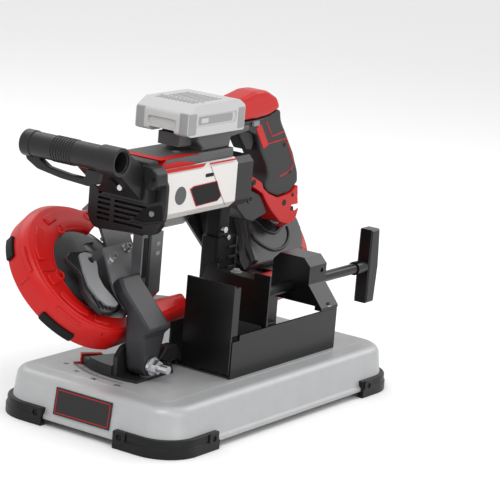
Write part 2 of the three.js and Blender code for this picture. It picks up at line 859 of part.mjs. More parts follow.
// the gearbox between the motor and the drive wheel, open towards the collar
const gearbox = () => {
  const side = [
    [130.4, 184],
    [130.4, 218],
    [149, 209],
    [156, 196],
    [176, 186],
    [182, 176],
    [172, 166],
    [150, 168],
  ];
  const room = [[120, 190], [120, 211], [145, 202], [152, 190], [170, 182], [170, 172], [150, 175]];
  return cut(prismY(side, 108, 136, 1.5), prismY(room, 113, 131));
};
add(saw, "gearbox", "casting", gearbox());

// ---- handles ------------------------------------------------------------------------------
const frontHandle = () => {
  const barrel = cut(
    rodY(HANDLE_X, HANDLE_Z, HANDLE_RADIUS, 78, 222, 28),
    rodY(HANDLE_X, HANDLE_Z, 12, 70, 212, 24),
  );
  const loop = prismX(
    [
      [106, 250], [109, 234, 4], [124, 232, 6], [196, 236, 8], [222, 245, 6], [222, 262],
      [190, 262], [190, 250, 4], [184, 244, 4], [126, 240, 4], [122, 252], [122, 262],
      [106, 262],
    ],
    HANDLE_X - 5,
    HANDLE_X + 5,
    1.5,
  );
  const bracket = prismY(
    [[-141, 256], [-126, 254], [-80.4, 214], [-80.4, 252], [-120, 274], [-141, 276]],
    92,
    138,
    1.5,
  );
  const inner = rodY(HANDLE_X, HANDLE_Z, 12, 70, 212, 24);
  return cut(join(barrel, loop, bracket), inner);
};
add(saw, "front_handle", "plastic", frontHandle());

const railX = [20, 96];
const mountSide = [
  [24, 280.4],
  [24, 270.6],
  [34, 262],
  [34, 258.4],
  [90, 258.4],
  [92, 270],
  [130, 274],
  [130, 280.4],
];
add(
  saw,
  "battery_mount",
  "plastic",
  join(
    cut(
      prismY(mountSide, 90, 146, 1.5),
      prismY([[40, 262], [86, 262], [88, 274], [40, 274]], 94, 150),
    ),
    block(0, 26, 101, 133, 265, 280.4, 1.5),
    block(...railX, 99, 135, 280, 286.4),
  ),
);
add(
  saw,
  "battery_pack",
  "pack",
  cut(
    prismY(
      [
        [-16, 283, 3], [-6, 280.8], [100, 280.8, 3], [100, 312, 8], [84, 319.6, 6],
        [0, 319.6, 6], [-16, 310, 8],
      ],
      78,
      156,
      2,
    ),
    block(-30, 110, 98.4, 135.6, 270, 286.9),
  ),
);

// the trigger grip: a red cap over two dark halves
const gripCap = [
  [106, 284], [104, 296, 6], [122, 311, 8], [158, 318, 12], [178, 318, 12], [204, 306, 8],
  [212, 293], [188, 285], [160, 283],
];
const gripBody = [
  [130.4, 282.4], [160, 282.6], [188, 284.6], [212.6, 292.4], [215, 277], [246, 236, 10],
  [264, 207, 8], [266, 194], [249, 181.2], [200, 187], [188, 195], [197, 208], [192, 218, 8],
  [175, 240], [164, 262], [134, 274],
];
const triggerRoom = [[126, 284], [124, 262], [150, 238], [173, 236], [186, 252], [182, 284]];
const lockSlot = block(148, 166, 99, 108, 277, 281);
const gripHalf = (y0, y1) =>
  cut(
    prismY(gripBody, y0, y1, 1.5),
    prismY(
      [[190, 280], [207, 284], [209, 276], [238, 236], [254, 206], [206, 206], [200, 222], [186, 244]],
      BODY_Y - 12,
      BODY_Y + 12,
    ),
    prismY(triggerRoom, BODY_Y - 11, BODY_Y + 11),
  );
add(saw, "grip_near", "rubber", cut(gripHalf(BODY_Y - GRIP_HALF, BODY_Y - 0.2), lockSlot));
add(saw, "grip_far", "rubber", gripHalf(BODY_Y + 0.2, BODY_Y + GRIP_HALF));
add(
  saw,
  "grip_cap",
  "red",
  cut(
    prismY(gripCap, BODY_Y - GRIP_HALF, BODY_Y + GRIP_HALF, 2),
    prismY(
      [[112, 280], [116, 296], [126, 304], [172, 312], [198, 300], [200, 284]],
      BODY_Y - 13,
      BODY_Y + 13,
    ),
  ),
);
add(
  saw,
  "trigger",
  "plastic",
  prismY(
    [[136, 277], [134, 264, 3], [150, 245, 5], [164, 243, 4], [168, 252], [160, 277]],
    BODY_Y - 10,
    BODY_Y + 10,
    1.5,
  ),
);
add(
  saw,
  "lock_switch",
  "cap",
  join(
    block(150, 162, BODY_Y - GRIP_HALF - 4, BODY_Y - GRIP_HALF - 0.4, 276, 282, 1),
    block(153, 159, BODY_Y - GRIP_HALF - 1, BODY_Y - 10.6, 277.4, 280.6),
  ),
);

// the red root of the grip, standing on the gear case
const gripRoot = () => {
  const upper = prismY(
    [
      [155, 213],
      [162, 197.5],
      [186, 185],
      [198, 171],
      [212, 158],
      [231, 143],
      [251, 137],
      [266, 141],
      [272, 154],
      [268, 174],
      [266, 190],
      [250, 179.5],
      [200, 185],
      [186.5, 193],
      [183.5, 200],
      [168, 207],
    ],
    100,
    134,
    1.5,
  );
  const leg = moved(
    join(
      prismZ([[262, 88], [306, 88], [300, 112], [262, 112]], 34.8, 70),
      prismZ([[279, 62], [300, 62], [322, 88], [306, 112], [279, 112]], 34.8, 52),
    ),
    TO_WORLD,
  );
  const bossRoom = moved(rodZ(DRIVE_X + 4, 72, 13, 28, 51, 20), TO_WORLD);
  return cut(join(upper, leg), bossRoom);
};
add(saw, "grip_root", "red", gripRoot());

// ---- vise ---------------------------------------------------------------------------------
const channel = () => {
  const near = prismY(
    [
      [0, 0.3],
      [CHANNEL_LENGTH, 0.3],
      [CHANNEL_LENGTH, CHANNEL_HEIGHT],
      [14, CHANNEL_HEIGHT],
      [14, 46],
      [0, 46],
    ],
    0,
    SHEET,
  );
  const far = prismY(
    box2(0, 0.3, CHANNEL_LENGTH, CHANNEL_HEIGHT),
    CHANNEL_DEPTH - SHEET,
    CHANNEL_DEPTH,
  );
  const notch = block(-3, 13, 80, 100, 0, 14); // room in the far wall for the swivel post
  const floor = block(0, CHANNEL_LENGTH, 1, CHANNEL_DEPTH - 1, 5, 8);
  const eye = rodZ(...SWIVEL, 8, 5, 8, 20);
  return cut(join(near, cut(far, notch), floor, eye), rodZ(...SWIVEL, 3.4, 0, 20, 16));
};
add(saw, "vise_channel", "vise", channel());

add(
  saw,
  "fixed_jaw",
  "vise",
  join(
    block(-3.3, -0.8, 1, 71, 6, 60),
    block(-3.3, -0.3, 1, 71, 53.2, 115),
    block(-1, 10, 1, 4, 53.2, 112),
  ),
);

const movableJaw = () => {
  const plate = cut(
    prismX(
      [
        [1, 53],
        [92.5, 53],
        [92.5, 59],
        [101.5, 68],
        [101.5, 98],
        [92, 116],
        [79, 116],
        [79, 106],
        [24, 106],
        [24, 116],
        [1, 116],
      ],
      JAW_X,
      JAW_X + SHEET,
    ),
    rodX(SCREW_Y + 28, 88, 3, 60, 80, 12),
  );
  const flange = block(JAW_X, JAW_X + 24, 24.5, 78.5, 105, 108);
  const sole = block(JAW_X, JAW_X + 26, 4, 89, 53, 56);
  const ribs = [4, 85].map((y) => block(JAW_X, JAW_X + 26, y, y + 4, 34, 54));
  const socket = rodX(SCREW_Y, SCREW_Z, 13, JAW_X + 1, JAW_X + 20, 24);
  const bore = rodX(SCREW_Y, SCREW_Z, SCREW_RADIUS + 0.5, JAW_X + SHEET, JAW_X + 30, 20);
  return cut(join(plate, flange, sole, ...ribs, socket), bore);
};
add(saw, "movable_jaw", "vise", movableJaw());

// the screw housing: a bent strap over the channel, closed on the left, with the nut inside
const screwHousing = () => {
  const strap = [
    [0, 53], [90, 53], [90, 57], [78, 83], [78, 106], [68, 116], [32, 116], [22, 106], [22, 83],
    [0, 57],
  ];
  const room = [
    [8, 50], [83, 50], [82, 61], [74.5, 82], [74.5, 105], [66.5, 112.6], [33.5, 112.6],
    [25.5, 105], [25.5, 82], [8, 61],
  ];
  return cut(
    prismX(strap, HOUSING_X, HOUSING_X + 38),
    prismX(room, HOUSING_X + SHEET, HOUSING_X + 50),
    block(HOUSING_X - 5, HOUSING_X + 50, 10, 80, 50, 58),
    rodX(SCREW_Y, SCREW_Z, SCREW_RADIUS + 0.6, HOUSING_X - 5, HOUSING_X + 50, 20),
    rodY(HOUSING_X + 28, 98, 3, 18, 30, 12),
    rodY(HOUSING_X + 28, 98, 3, 70, 82, 12),
  );
};
add(saw, "screw_housing", "vise", screwHousing());
add(
  saw,
  "screw_nut",
  "steel",
  cut(
    block(HOUSING_X + 8, HOUSING_X + 30, 36, 64, 62, 89),
    rodX(SCREW_Y, SCREW_Z, SCREW_RADIUS + 0.4, HOUSING_X - 5, HOUSING_X + 50, 20),
  ),
);

add(
  saw,
  "vise_screw",
  "vise",
  join(
    rodX(SCREW_Y, SCREW_Z, SCREW_RADIUS, JAW_X + SHEET + 0.4, 352, 20),
    rodX(SCREW_Y, SCREW_Z, 9, 340, 361.6, 20),
  ),
);
add(
  saw,
  "vise_handle",
  "vise",
  prismY(
    [
      [362.4, 27, 2], [381.5, 27, 2], [384, 60, 4], [385, 76], [384, 93, 4], [381.5, 126, 2],
      [362.4, 126, 2], [361.9, 90],
    ],
    SCREW_Y - 10,
    SCREW_Y + 10,
    2,
  ),
);

// ---- origin -------------------------------------------------------------------------------
const box = new THREE.Box3().setFromObject(saw, true);
const middle = box.getCenter(new THREE.Vector3());
saw.position.set(-middle.x, -middle.y, -box.min.z);

export default saw;
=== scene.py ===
"""The looks of a benchtop horizontal band saw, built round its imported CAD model.

Shapes are drawn in millimetres from the near left foot of the vise channel (x along the blade,
y towards the wheels, z up from the base top) and placed in the row frame by at() and tilted().
"""

import math

import bmesh
import bpy
from mathutils import Matrix, Vector


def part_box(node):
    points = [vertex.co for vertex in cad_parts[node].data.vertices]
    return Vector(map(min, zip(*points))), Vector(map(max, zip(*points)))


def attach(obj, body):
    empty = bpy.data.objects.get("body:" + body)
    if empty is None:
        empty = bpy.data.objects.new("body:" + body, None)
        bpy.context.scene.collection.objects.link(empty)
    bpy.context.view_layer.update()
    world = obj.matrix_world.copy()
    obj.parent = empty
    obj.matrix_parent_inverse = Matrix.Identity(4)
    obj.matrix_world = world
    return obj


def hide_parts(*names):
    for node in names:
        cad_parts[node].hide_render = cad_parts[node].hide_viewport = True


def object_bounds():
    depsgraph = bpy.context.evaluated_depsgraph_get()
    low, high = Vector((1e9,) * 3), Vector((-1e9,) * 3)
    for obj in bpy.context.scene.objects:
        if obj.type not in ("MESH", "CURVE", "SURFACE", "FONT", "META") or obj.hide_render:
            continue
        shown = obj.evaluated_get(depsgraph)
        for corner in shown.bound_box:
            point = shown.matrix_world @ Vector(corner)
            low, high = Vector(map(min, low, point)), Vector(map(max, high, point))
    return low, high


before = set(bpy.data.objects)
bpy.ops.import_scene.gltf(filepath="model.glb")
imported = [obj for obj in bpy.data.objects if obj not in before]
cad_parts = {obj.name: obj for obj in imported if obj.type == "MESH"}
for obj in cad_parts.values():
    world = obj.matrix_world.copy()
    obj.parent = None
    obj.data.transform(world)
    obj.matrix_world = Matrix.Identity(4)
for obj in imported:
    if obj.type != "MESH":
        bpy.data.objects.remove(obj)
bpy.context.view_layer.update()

MM = 0.001
HALF = math.sqrt(0.5)
BLADE_Y, BLADE_Z = 118, 53.6
ORIGIN = Vector(
    (
        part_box("fixed_jaw")[0].x + 3.3 * MM,
        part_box("vise_channel")[0].y,
        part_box("base_pan")[1].z,
    )
)


def at(x, y, z):
    """A point of the drawing in the row frame."""
    return ORIGIN + Vector((x, y, z)) * MM


def tilted(x, u, n):
    """A point in the plane of the wheels: u up the slope, n out of it, towards the front."""
    return at(x, BLADE_Y + HALF * (u - n), BLADE_Z + HALF * (u + n))


PLACES = {
    "x": lambda a, b, h: at(h, a, b),
    "y": lambda a, b, h: at(a, h, b),
    "z": lambda a, b, h: at(a, b, h),
    "n": lambda a, b, h: tilted(a, b, h),
}

# ---- camera -------------------------------------------------------------------------------
camera = bpy.data.objects.new("camera", bpy.data.cameras.new("camera"))
bpy.context.scene.collection.objects.link(camera)
RIGHT = Vector((0.57252, -0.81569, 0.08289))
UP = Vector((0.13826, 0.19570, 0.97087))
FORWARD = Vector((0.80815, 0.54438, -0.22483))
LOOK_AT = (35.4, 10.4, 152.4)
CAMERA_DISTANCE = 2857.3
turn = Matrix((RIGHT, UP, -FORWARD)).transposed().to_4x4()
camera.matrix_world = Matrix.Translation(at(*LOOK_AT) - FORWARD * CAMERA_DISTANCE * MM) @ turn
camera.data.sensor_width = 36
camera.data.lens = 172.8
camera.data.clip_end = 50
bpy.context.scene.camera = camera


# ---- materials ----------------------------------------------------------------------------
def look(name, color, rough, metal=0.0, grain=0.1, grain_scale=1800, fleck=0.06, coat=0.0, shine=0.35):
    """A procedural material: a colour that varies a little, and a fine grain in its surface."""
    material = bpy.data.materials.new(name)
    material.use_nodes = True
    nodes, links = material.node_tree.nodes, material.node_tree.links
    shader = nodes["Principled BSDF"]
    shader.inputs["Roughness"].default_value = rough
    shader.inputs["Metallic"].default_value = metal
    shader.inputs["Coat Weight"].default_value = coat
    shader.inputs["Specular IOR Level"].default_value = shine
    shader.inputs["Coat Roughness"].default_value = 0.2
    place = nodes.new("ShaderNodeTexCoord")
    cloud = nodes.new("ShaderNodeTexNoise")
    cloud.inputs["Scale"].default_value = 60
    cloud.inputs["Detail"].default_value = 4
    links.new(place.outputs["Object"], cloud.inputs["Vector"])
    mix = nodes.new("ShaderNodeMix")
    mix.data_type = "RGBA"
    mix.inputs[6].default_value = (*[c * (1 - fleck) for c in color], 1)
    mix.inputs[7].default_value = (*[min(1, c * (1 + fleck)) for c in color], 1)
    links.new(cloud.outputs["Fac"], mix.inputs[0])
    links.new(mix.outputs[2], shader.inputs["Base Color"])
    noise = nodes.new("ShaderNodeTexNoise")
    noise.inputs["Scale"].default_value = grain_scale
    noise.inputs["Detail"].default_value = 2
    links.new(place.outputs["Object"], noise.inputs["Vector"])
    bump = nodes.new("ShaderNodeBump")
    bump.inputs["Strength"].default_value = grain
    bump.inputs["Distance"].default_value = 0.0003
    links.new(noise.outputs["Fac"], bump.inputs["Height"])
    links.new(bump.outputs["Normal"], shader.inputs["Normal"])
    return material


RED = look("red_plastic", (0.50, 0.006, 0.005), 0.38, grain=0.05, coat=0.06, shine=0.3)
RED_INK = look("red_ink", (0.52, 0.010, 0.008), 0.5, shine=0.2)
SHELL = look("white_shell", (0.70, 0.68, 0.66), 0.42, grain=0.06, fleck=0.02)
PAN = look("silver_paint", (0.42, 0.425, 0.43), 0.42, metal=0.3, grain=0.12, grain_scale=2600)
# dark plastic for real parts, and also painted shade in the grip root's holes round their screws
PLASTIC_AND_SHADE = look("dark_plastic_and_painted_shade", (0.015, 0.015, 0.016), 0.36, grain=0.18, shine=0.3)
GREY = look("grey_plastic", (0.085, 0.085, 0.088), 0.5, grain=0.15)
RUBBER = look("soft_rubber", (0.006, 0.006, 0.0065), 0.42, grain=0.2, shine=0.25)
GRIP = look("grip_rubber", (0.026, 0.026, 0.028), 0.5, grain=0.3, grain_scale=2200)
CASTING = look("dark_casting", (0.026, 0.026, 0.029), 0.36, metal=0.2, grain=0.25, grain_scale=900)
VISE = look("black_paint", (0.006, 0.0055, 0.0055), 0.28, metal=0.1, grain=0.22, grain_scale=700)
PACK = look("pack_plastic", (0.52, 0.515, 0.515), 0.55, fleck=0.02)
PACK_DARK = look("pack_grip", (0.30, 0.30, 0.305), 0.6, fleck=0.02)
CAP = look("cap_plastic", (0.22, 0.22, 0.23), 0.45, grain=0.12)
DOOR = look("wheel_plate", (0.13, 0.132, 0.136), 0.36, metal=0.7, grain=0.12)
STEEL = look("bright_steel", (0.60, 0.60, 0.61), 0.25, metal=1.0, grain=0.05)
ZINC = look("zinc_steel", (0.62, 0.63, 0.65), 0.28, metal=1.0, grain=0.08)
ALUMINIUM = look("aluminium", (0.30, 0.305, 0.31), 0.42, metal=0.7, grain=0.15)
# black for print, screws, seams and bumpers, and also painted shade for holes, slots, a recess and
# vents
INK_AND_SHADE = look("black_ink_and_painted_shade", (0.004, 0.004, 0.004), 0.5, shine=0.2)

# ---- shapes -------------------------------------------------------------------------------
SHARP = math.radians(34)  # edges sharper than this stay sharp in the shading
BEVELLED = math.radians(30)  # edges sharper than this are rounded
DISC_STEPS = 30  # a cutter of this many points is a disc, and takes no fillets


def finish(piece, material, body, bevel=0.0, segments=3, slot=None):
    """Material, edge rounding in millimetres, smooth faces and the CAD body of a piece."""
    piece.data.materials.clear()
    piece.data.materials.append(material)
    smooth(piece.data)
    if bevel:
        round_edges(piece, bevel, segments)
    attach(piece, body)
    return piece


def smooth(mesh):
    mesh.polygons.foreach_set("use_smooth", [True] * len(mesh.polygons))
    mesh.set_sharp_from_angle(angle=SHARP)


def round_edges(piece, width, segments=3):
    edge = piece.modifiers.new("edge", "BEVEL")
    edge.width = width * MM
    edge.segments = segments
    edge.limit_method = "ANGLE"
    edge.angle_limit = BEVELLED
    edge.harden_normals = True
    edge.use_clamp_overlap = True


def mesh_piece(name, points, faces):
    mesh = bpy.data.meshes.new(name)
    mesh.from_pydata([tuple(p) for p in points], [], faces)
    mesh.validate()
    tidy = bmesh.new()
    tidy.from_mesh(mesh)
    bmesh.ops.remove_doubles(tidy, verts=tidy.verts, dist=1e-6)
    bmesh.ops.recalc_face_normals(tidy, faces=tidy.faces)
    tidy.to_mesh(mesh)
    tidy.free()
    piece = bpy.data.objects.new(name, mesh)
    bpy.context.scene.collection.objects.link(piece)
    return piece


def fillet(corners, steps=6):
    """An outline through corners (a, b, radius), each rounded by a true arc."""
    outline = []
    for i, corner in enumerate(corners):
        here = Vector(corner[:2])
        radius = corner[2] if len(corner) > 2 else 0
        before = Vector(corners[i - 1][:2]) - here
        after = Vector(corners[(i + 1) % len(corners)][:2]) - here
        bend = before.angle(after, math.pi)
        if not radius or bend > math.pi - 0.02:
            outline.append(tuple(here))
            continue
        reach = min(radius / math.tan(bend / 2), 0.48 * before.length, 0.48 * after.length)
        radius = reach * math.tan(bend / 2)
        start = here + before.normalized() * reach
        end = here + after.normalized() * reach
        centre = here + (before.normalized() + after.normalized()).normalized() * math.hypot(
            radius, reach,
        )
        first = start - centre
        swing = first.angle_signed(end - centre) if first.length > 1e-9 else 0
        for k in range(steps + 1):
            spoke = first.copy()
            spoke.rotate(Matrix.Rotation(-swing * k / steps, 2))
            outline.append(tuple(centre + spoke))
    return outline


def prism_mesh(name, outline, low, high, axis):
    place = PLACES[axis]
    count = len(outline)
    points = [place(a, b, low) for a, b in outline] + [place(a, b, high) for a, b in outline]
    faces = [tuple(range(count)), tuple(range(2 * count - 1, count - 1, -1))]
    faces += [(i, (i + 1) % count, count + (i + 1) % count, count + i) for i in range(count)]
    return mesh_piece(name, points, faces)


def prism(name, corners, low, high, axis, material, body, bevel=0.8, cuts=(), **rest):
    """A slab of a rounded outline, with other solids cut out of it."""
    piece = prism_mesh(name, fillet(corners), low, high, axis)
    carve(piece, *cuts)
    return finish(piece, material, body, bevel, **rest)


def disc(a, b, radius, steps=40):
    return [
        (a + radius * math.cos(2 * math.pi * i / steps), b + radius * math.sin(2 * math.pi * i / steps))
        for i in range(steps)
    ]


def rod(name, a, b, radius, low, high, axis, material, body, bevel=0.4, steps=40, cuts=()):
    piece = prism_mesh(name, disc(a, b, radius, steps), low, high, axis)
    carve(piece, *cuts)
    return finish(piece, material, body, bevel)


def box(a0, a1, b0, b1, radius=0):
    return [(a0, b0, radius), (a1, b0, radius), (a1, b1, radius), (a0, b1, radius)]


def cutter(corners, low, high, axis):
    outline = fillet(corners) if len(corners) < DISC_STEPS else corners
    return prism_mesh("cutter", outline, low, high, axis)


def carve(piece, *cutters):
    """Cuts the cutters out of a piece and throws them away."""
    if not cutters:
        return
    for tool in cutters:
        modifier = piece.modifiers.new("cut", "BOOLEAN")
        modifier.operation = "DIFFERENCE"
        modifier.solver = "EXACT"
        modifier.object = tool
    graph = bpy.context.evaluated_depsgraph_get()
    carved = bpy.data.meshes.new_from_object(piece.evaluated_get(graph))
    piece.modifiers.clear()
    piece.data = carved
    for tool in cutters:
        bpy.data.objects.remove(tool)


def soften(piece, voxel=1.2, rounds=8):
    """Turns hard edges into the soft ones of a moulding."""
    remesh = piece.modifiers.new("remesh", "REMESH")
    remesh.mode = "VOXEL"
    remesh.voxel_size = voxel * MM
    relax = piece.modifiers.new("relax", "SMOOTH")
    relax.factor = 0.6
    relax.iterations = rounds
    graph = bpy.context.evaluated_depsgraph_get()
    soft = bpy.data.meshes.new_from_object(piece.evaluated_get(graph))
    piece.modifiers.clear()
    piece.data = soft
    soft.polygons.foreach_set("use_smooth", [True] * len(soft.polygons))


def moulded(name, parts, material, body, voxel=1.2, rounds=8, cuts=(), slot=None):
    """Several prisms (outline, low, high, axis) fused into one soft moulding."""
    pieces = [prism_mesh(name, fillet(c), lo, hi, axis) for c, lo, hi, axis in parts]
    whole = pieces[0]
    fused = bmesh.new()
    for other in pieces:
        fused.from_mesh(other.data)
    fused.to_mesh(whole.data)
    fused.free()
    for other in pieces[1:]:
        bpy.data.objects.remove(other)
    soften(whole, voxel, rounds)
    carve(whole, *cuts)
    return finish(whole, material, body, slot=slot)


def copy_of(node_name, name):
    """A new object with a copy of a CAD node's mesh."""
    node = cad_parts[node_name]
    piece = bpy.data.objects.new(name, node.data.copy())
    piece.matrix_world = node.matrix_world.copy()
    bpy.context.scene.collection.objects.link(piece)
    return piece


def soft_copy(node_name, material, body, voxel, rounds, slot):
    """A copy of a CAD node with the soft edges of a moulding or casting, in its place."""
    piece = copy_of(node_name, f"{node_name}_soft")
    soften(piece, voxel, rounds)
    finish(piece, material, body, slot=slot)
    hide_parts(node_name)


def sweep(name, path, radius, material, body, resolution=6):
    """A round bead along points of the row frame."""
    curve = bpy.data.curves.new(name, "CURVE")
    curve.dimensions = "3D"
    curve.bevel_depth = radius * MM
    curve.bevel_resolution = resolution
    curve.use_fill_caps = True
    spline = curve.splines.new("POLY")
    spline.points.add(len(path) - 1)
    for point, spot in zip(spline.points, path):
        point.co = (*spot, 1)
    piece = bpy.data.objects.new(name, curve)
    bpy.context.scene.collection.objects.link(piece)
    graph = bpy.context.evaluated_depsgraph_get()
    mesh = bpy.data.meshes.new_from_object(piece.evaluated_get(graph))
    bpy.data.objects.remove(piece)
    solid = bpy.data.objects.new(name, mesh)
    bpy.context.scene.collection.objects.link(solid)
    return finish(solid, material, body)


def flowing(corners, steps=8):
    """Points of a smooth curve through corners (Catmull-Rom)."""
    spots = [Vector(c) for c in corners]
    spots = [2 * spots[0] - spots[1]] + spots + [2 * spots[-1] - spots[-2]]
    curve = []
    for i in range(1, len(spots) - 2):
        a, b, c, d = spots[i - 1 : i + 3]
        for k in range(steps):
            t = k / steps
            square = (2 * a - 5 * b + 4 * c - d) * t * t
            cube = (3 * b - a - 3 * c + d) * t**3
            curve.append(0.5 * (2 * b + (c - a) * t + square + cube))
    curve.append(spots[-2])
    return curve


def arc(a, b, radius, start, end, steps=24):
    return [
        (
            a + radius * math.cos(math.radians(start + (end - start) * i / steps)),
            b + radius * math.sin(math.radians(start + (end - start) * i / steps)),
        )
        for i in range(steps + 1)
    ]


def screw(name, a, b, radius, low, high, axis, body, material=ZINC):
    """A socket screw: a round head with a hexagonal hole."""
    top = high if high > low else low
    deep = cutter(disc(a, b, radius * 0.52, 6), top - (high - low) * 0.6, top + (high - low), axis)
    return rod(name, a, b, radius, low, high, axis, material, body, bevel=0.3, steps=28, cuts=[deep])


# ---- the CAD nodes that keep their shape --------------------------------------------------
KEPT = {
    "plastic": (PLASTIC_AND_SHADE, 0.8, "badge_plate swivel_bracket angle_lock_knob"),
    "frame": (DOOR, 0.8, "head_frame wheel_door"),
    "red": (RED_INK, 0.2, "angle_pointer"),
    "zinc": (ZINC, 0.4, "swivel_post hinge_bolt hinge_nut"),
    "vise": (VISE, 0.7, "vise_channel fixed_jaw screw_housing movable_jaw vise_screw"),
    "steel": (STEEL, 0.3, "screw_nut idler_axle drive_shaft drive_gear blade left_guide_shoe"),
    "rollers": (STEEL, 0.4, "back_roller near_side_roller far_side_roller motor_can motor_armature"),
    "aluminium": (ALUMINIUM, 0.8, "idler_wheel drive_wheel arm_plate"),
    "tyres": (RUBBER, 0.3, "idler_tyre drive_tyre"),
    "guides": (PLASTIC_AND_SHADE, 1.2, "rear_collar front_collar"),
    "shells": (SHELL, 2.6, "motor_shell_near motor_shell_far"),
    "mount": (GREY, 1.6, "battery_mount top_shell"),
    "small": (CAP, 0.8, "lock_switch"),
    "handle": (VISE, 3.5, "vise_handle"),
    "guide": (INK_AND_SHADE, 1.2, "right_guide_block"),
}
for material, width, names in KEPT.values():
    for node_name in names.split():
        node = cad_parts[node_name]
        node.data.materials.clear()
        node.data.materials.append(material)
        smooth(node.data)
        round_edges(node, width, 4 if width > 2 else 2)

# ---- base ---------------------------------------------------------------------------------
PAN_MIDDLE = (74.85, 90.05)
PAN_HALF = (241.5, 132)
PAN_CORNER = 45


def pan_ring(inset, z, steps=14):
    radius = max(PAN_CORNER - inset, 5)
    half_x, half_y = PAN_HALF[0] - inset - radius, PAN_HALF[1] - inset - radius
    ring = []
    for side_x, side_y, start in [(1, 1, 0), (-1, 1, 90), (-1, -1, 180), (1, -1, 270)]:
        for a, b in arc(side_x * half_x, side_y * half_y, radius, start, start + 90, steps):
            ring.append(at(PAN_MIDDLE[0] + a, PAN_MIDDLE[1] + b, z))
    return ring


def loft(name, rings):
    """A skin over rings of equal length, closed at both ends."""
    count = len(rings[0])
    points = [p for ring in rings for p in ring]
    faces = []
    for i in range(len(rings) - 1):
        j = i + 1
        for k in range(count):
            m = (k + 1) % count
            faces.append((i * count + k, i * count + m, j * count + m, j * count + k))
    faces.append(tuple(range(count - 1, -1, -1)))
    faces.append(tuple((len(rings) - 1) * count + k for k in range(count)))
    return mesh_piece(name, points, faces)


pan_outer = [(0.5, -50), (0, -49), (0, -46.4), (0.5, -45.4), (2.4, -43.6), (3.2, -42.6)]
fillet_steps = 9
pan_outer += [
    (
        7 + 12 * (1 - math.cos(math.radians(10 * k))),
        -12.8 + 12 * math.sin(math.radians(10 * k)),
    )
    for k in range(fillet_steps + 1)
]
pan_outer += [(34, -0.8), (35, -0.55), (36, -0.2), (37, 0)]
pan_inner = [(40, -3), (23, -3), (13, -7), (10, -12), (7, -42.6), (3, -44), (3, -50)]
pan = loft("pan_skin", [pan_ring(inset, z) for inset, z in pan_inner + pan_outer])
finish(pan, PAN, "stand", slot="pan")
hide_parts("base_pan")

# corner feet: a two-step band round each corner of the lip, with a lug and a screw at each end
FOOT_SECTION = [
    (-3, -58), (3.6, -58), (4, -57.4), (4, -47.2), (3.5, -46.4), (2.6, -46), (2.4, -45.4), (2.4, -38.2),
    (2, -37.2), (1, -36.6), (-8.4, -36.6), (-4.6, -46),
]
LUG_Z = -43.6
# which corner, and how far each leg of the band runs along the long and the short side
FEET = {
    "front_left": (-1, -1, 45.2, 36.2),
    "rear_left": (-1, 1, 29.2, 31.2),
    "front_right": (1, -1, 37.2, 23.2),
    "rear_right": (1, 1, 25.2, 23.2),
}


def foot_points(side_x, side_y, leg_x, leg_y, grow, z):
    """Points along one corner of the lip, from the end on the long side to that on the short."""
    radius = PAN_CORNER + grow
    centre_x = PAN_MIDDLE[0] + side_x * (PAN_HALF[0] - PAN_CORNER)
    centre_y = PAN_MIDDLE[1] + side_y * (PAN_HALF[1] - PAN_CORNER)
    run = [(-leg_x, radius)] + [
        (radius * math.sin(math.radians(6 * k)), radius * math.cos(math.radians(6 * k))) for k in range(
            16,
        )
    ] + [(radius, -leg_y)]
    return [at(centre_x + side_x * a, centre_y + side_y * b, z) for a, b in run]


for name, (side_x, side_y, leg_x, leg_y) in FEET.items():
    rows = [foot_points(side_x, side_y, leg_x, leg_y, grow, z) for grow, z in FOOT_SECTION]
    foot = loft(f"{name}_band", [list(ring) for ring in zip(*rows)])
    finish(foot, RUBBER, "stand", 0.5, 2, slot="rubber")
    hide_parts(f"{name}_foot")
    end_x = PAN_MIDDLE[0] + side_x * (PAN_HALF[0] - PAN_CORNER - leg_x + 12)
    end_y = PAN_MIDDLE[1] + side_y * (PAN_HALF[1] - PAN_CORNER - leg_y + 9)
    long_y = PAN_MIDDLE[1] + side_y * PAN_HALF[1]
    short_x = PAN_MIDDLE[0] + side_x * PAN_HALF[0]
    for part, a, b, face, side, axis in [
        ("long", end_x, LUG_Z, long_y, side_y, "y"),
        ("short", end_y, LUG_Z, short_x, side_x, "x"),
    ]:
        low, high = sorted((face + side * 1, face + side * 4.4))
        lug = box(a - 9, a + 9, b - 6.4, b + 7.4, 2)
        recess = cutter(disc(a, b, 3.6), *sorted((face + side * 2.2, face + side * 9)), axis)
        prism(f"{name}_lug_{part}", lug, low, high, axis, RUBBER, "stand", 0.8, [recess])
        low, high = sorted((face + side * 1.4, face + side * 3.2))
        rod(f"{name}_screw_{part}", a, b, 2.6, low, high, axis, INK_AND_SHADE, "stand", 0.3)

# a thin red frame on the plain dark plate
PLATE_Y, PLATE_Z = (52, 131), (-39, -11)


def plate_x(z):
    """The plate's face, which follows the pan's sloping wall."""
    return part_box("badge_plate")[0].x / MM - ORIGIN.x / MM + (z + 41) * 4 / 31 - 0.15


def plate_bar(name, y0, y1, z0, z1):
    corners = [(y0, z0), (y1, z0), (y1, z1), (y0, z1)]
    points = [at(plate_x(z), y, z) for y, z in corners] + [
        at(plate_x(z) + 0.4, y, z) for y, z in corners
    ]
    faces = [(0, 1, 2, 3), (7, 6, 5, 4), (0, 1, 5, 4), (1, 2, 6, 5), (2, 3, 7, 6), (3, 0, 4, 7)]
    return finish(mesh_piece(name, points, faces), RED_INK, "stand")


plate_bar("plate_line_low", *PLATE_Y, PLATE_Z[0], PLATE_Z[0] + 0.8)
plate_bar("plate_line_high", *PLATE_Y, PLATE_Z[1] - 0.8, PLATE_Z[1])
plate_bar("plate_line_near", PLATE_Y[0], PLATE_Y[0] + 0.8, *PLATE_Z)
plate_bar("plate_line_far", PLATE_Y[1] - 0.8, PLATE_Y[1], *PLATE_Z)

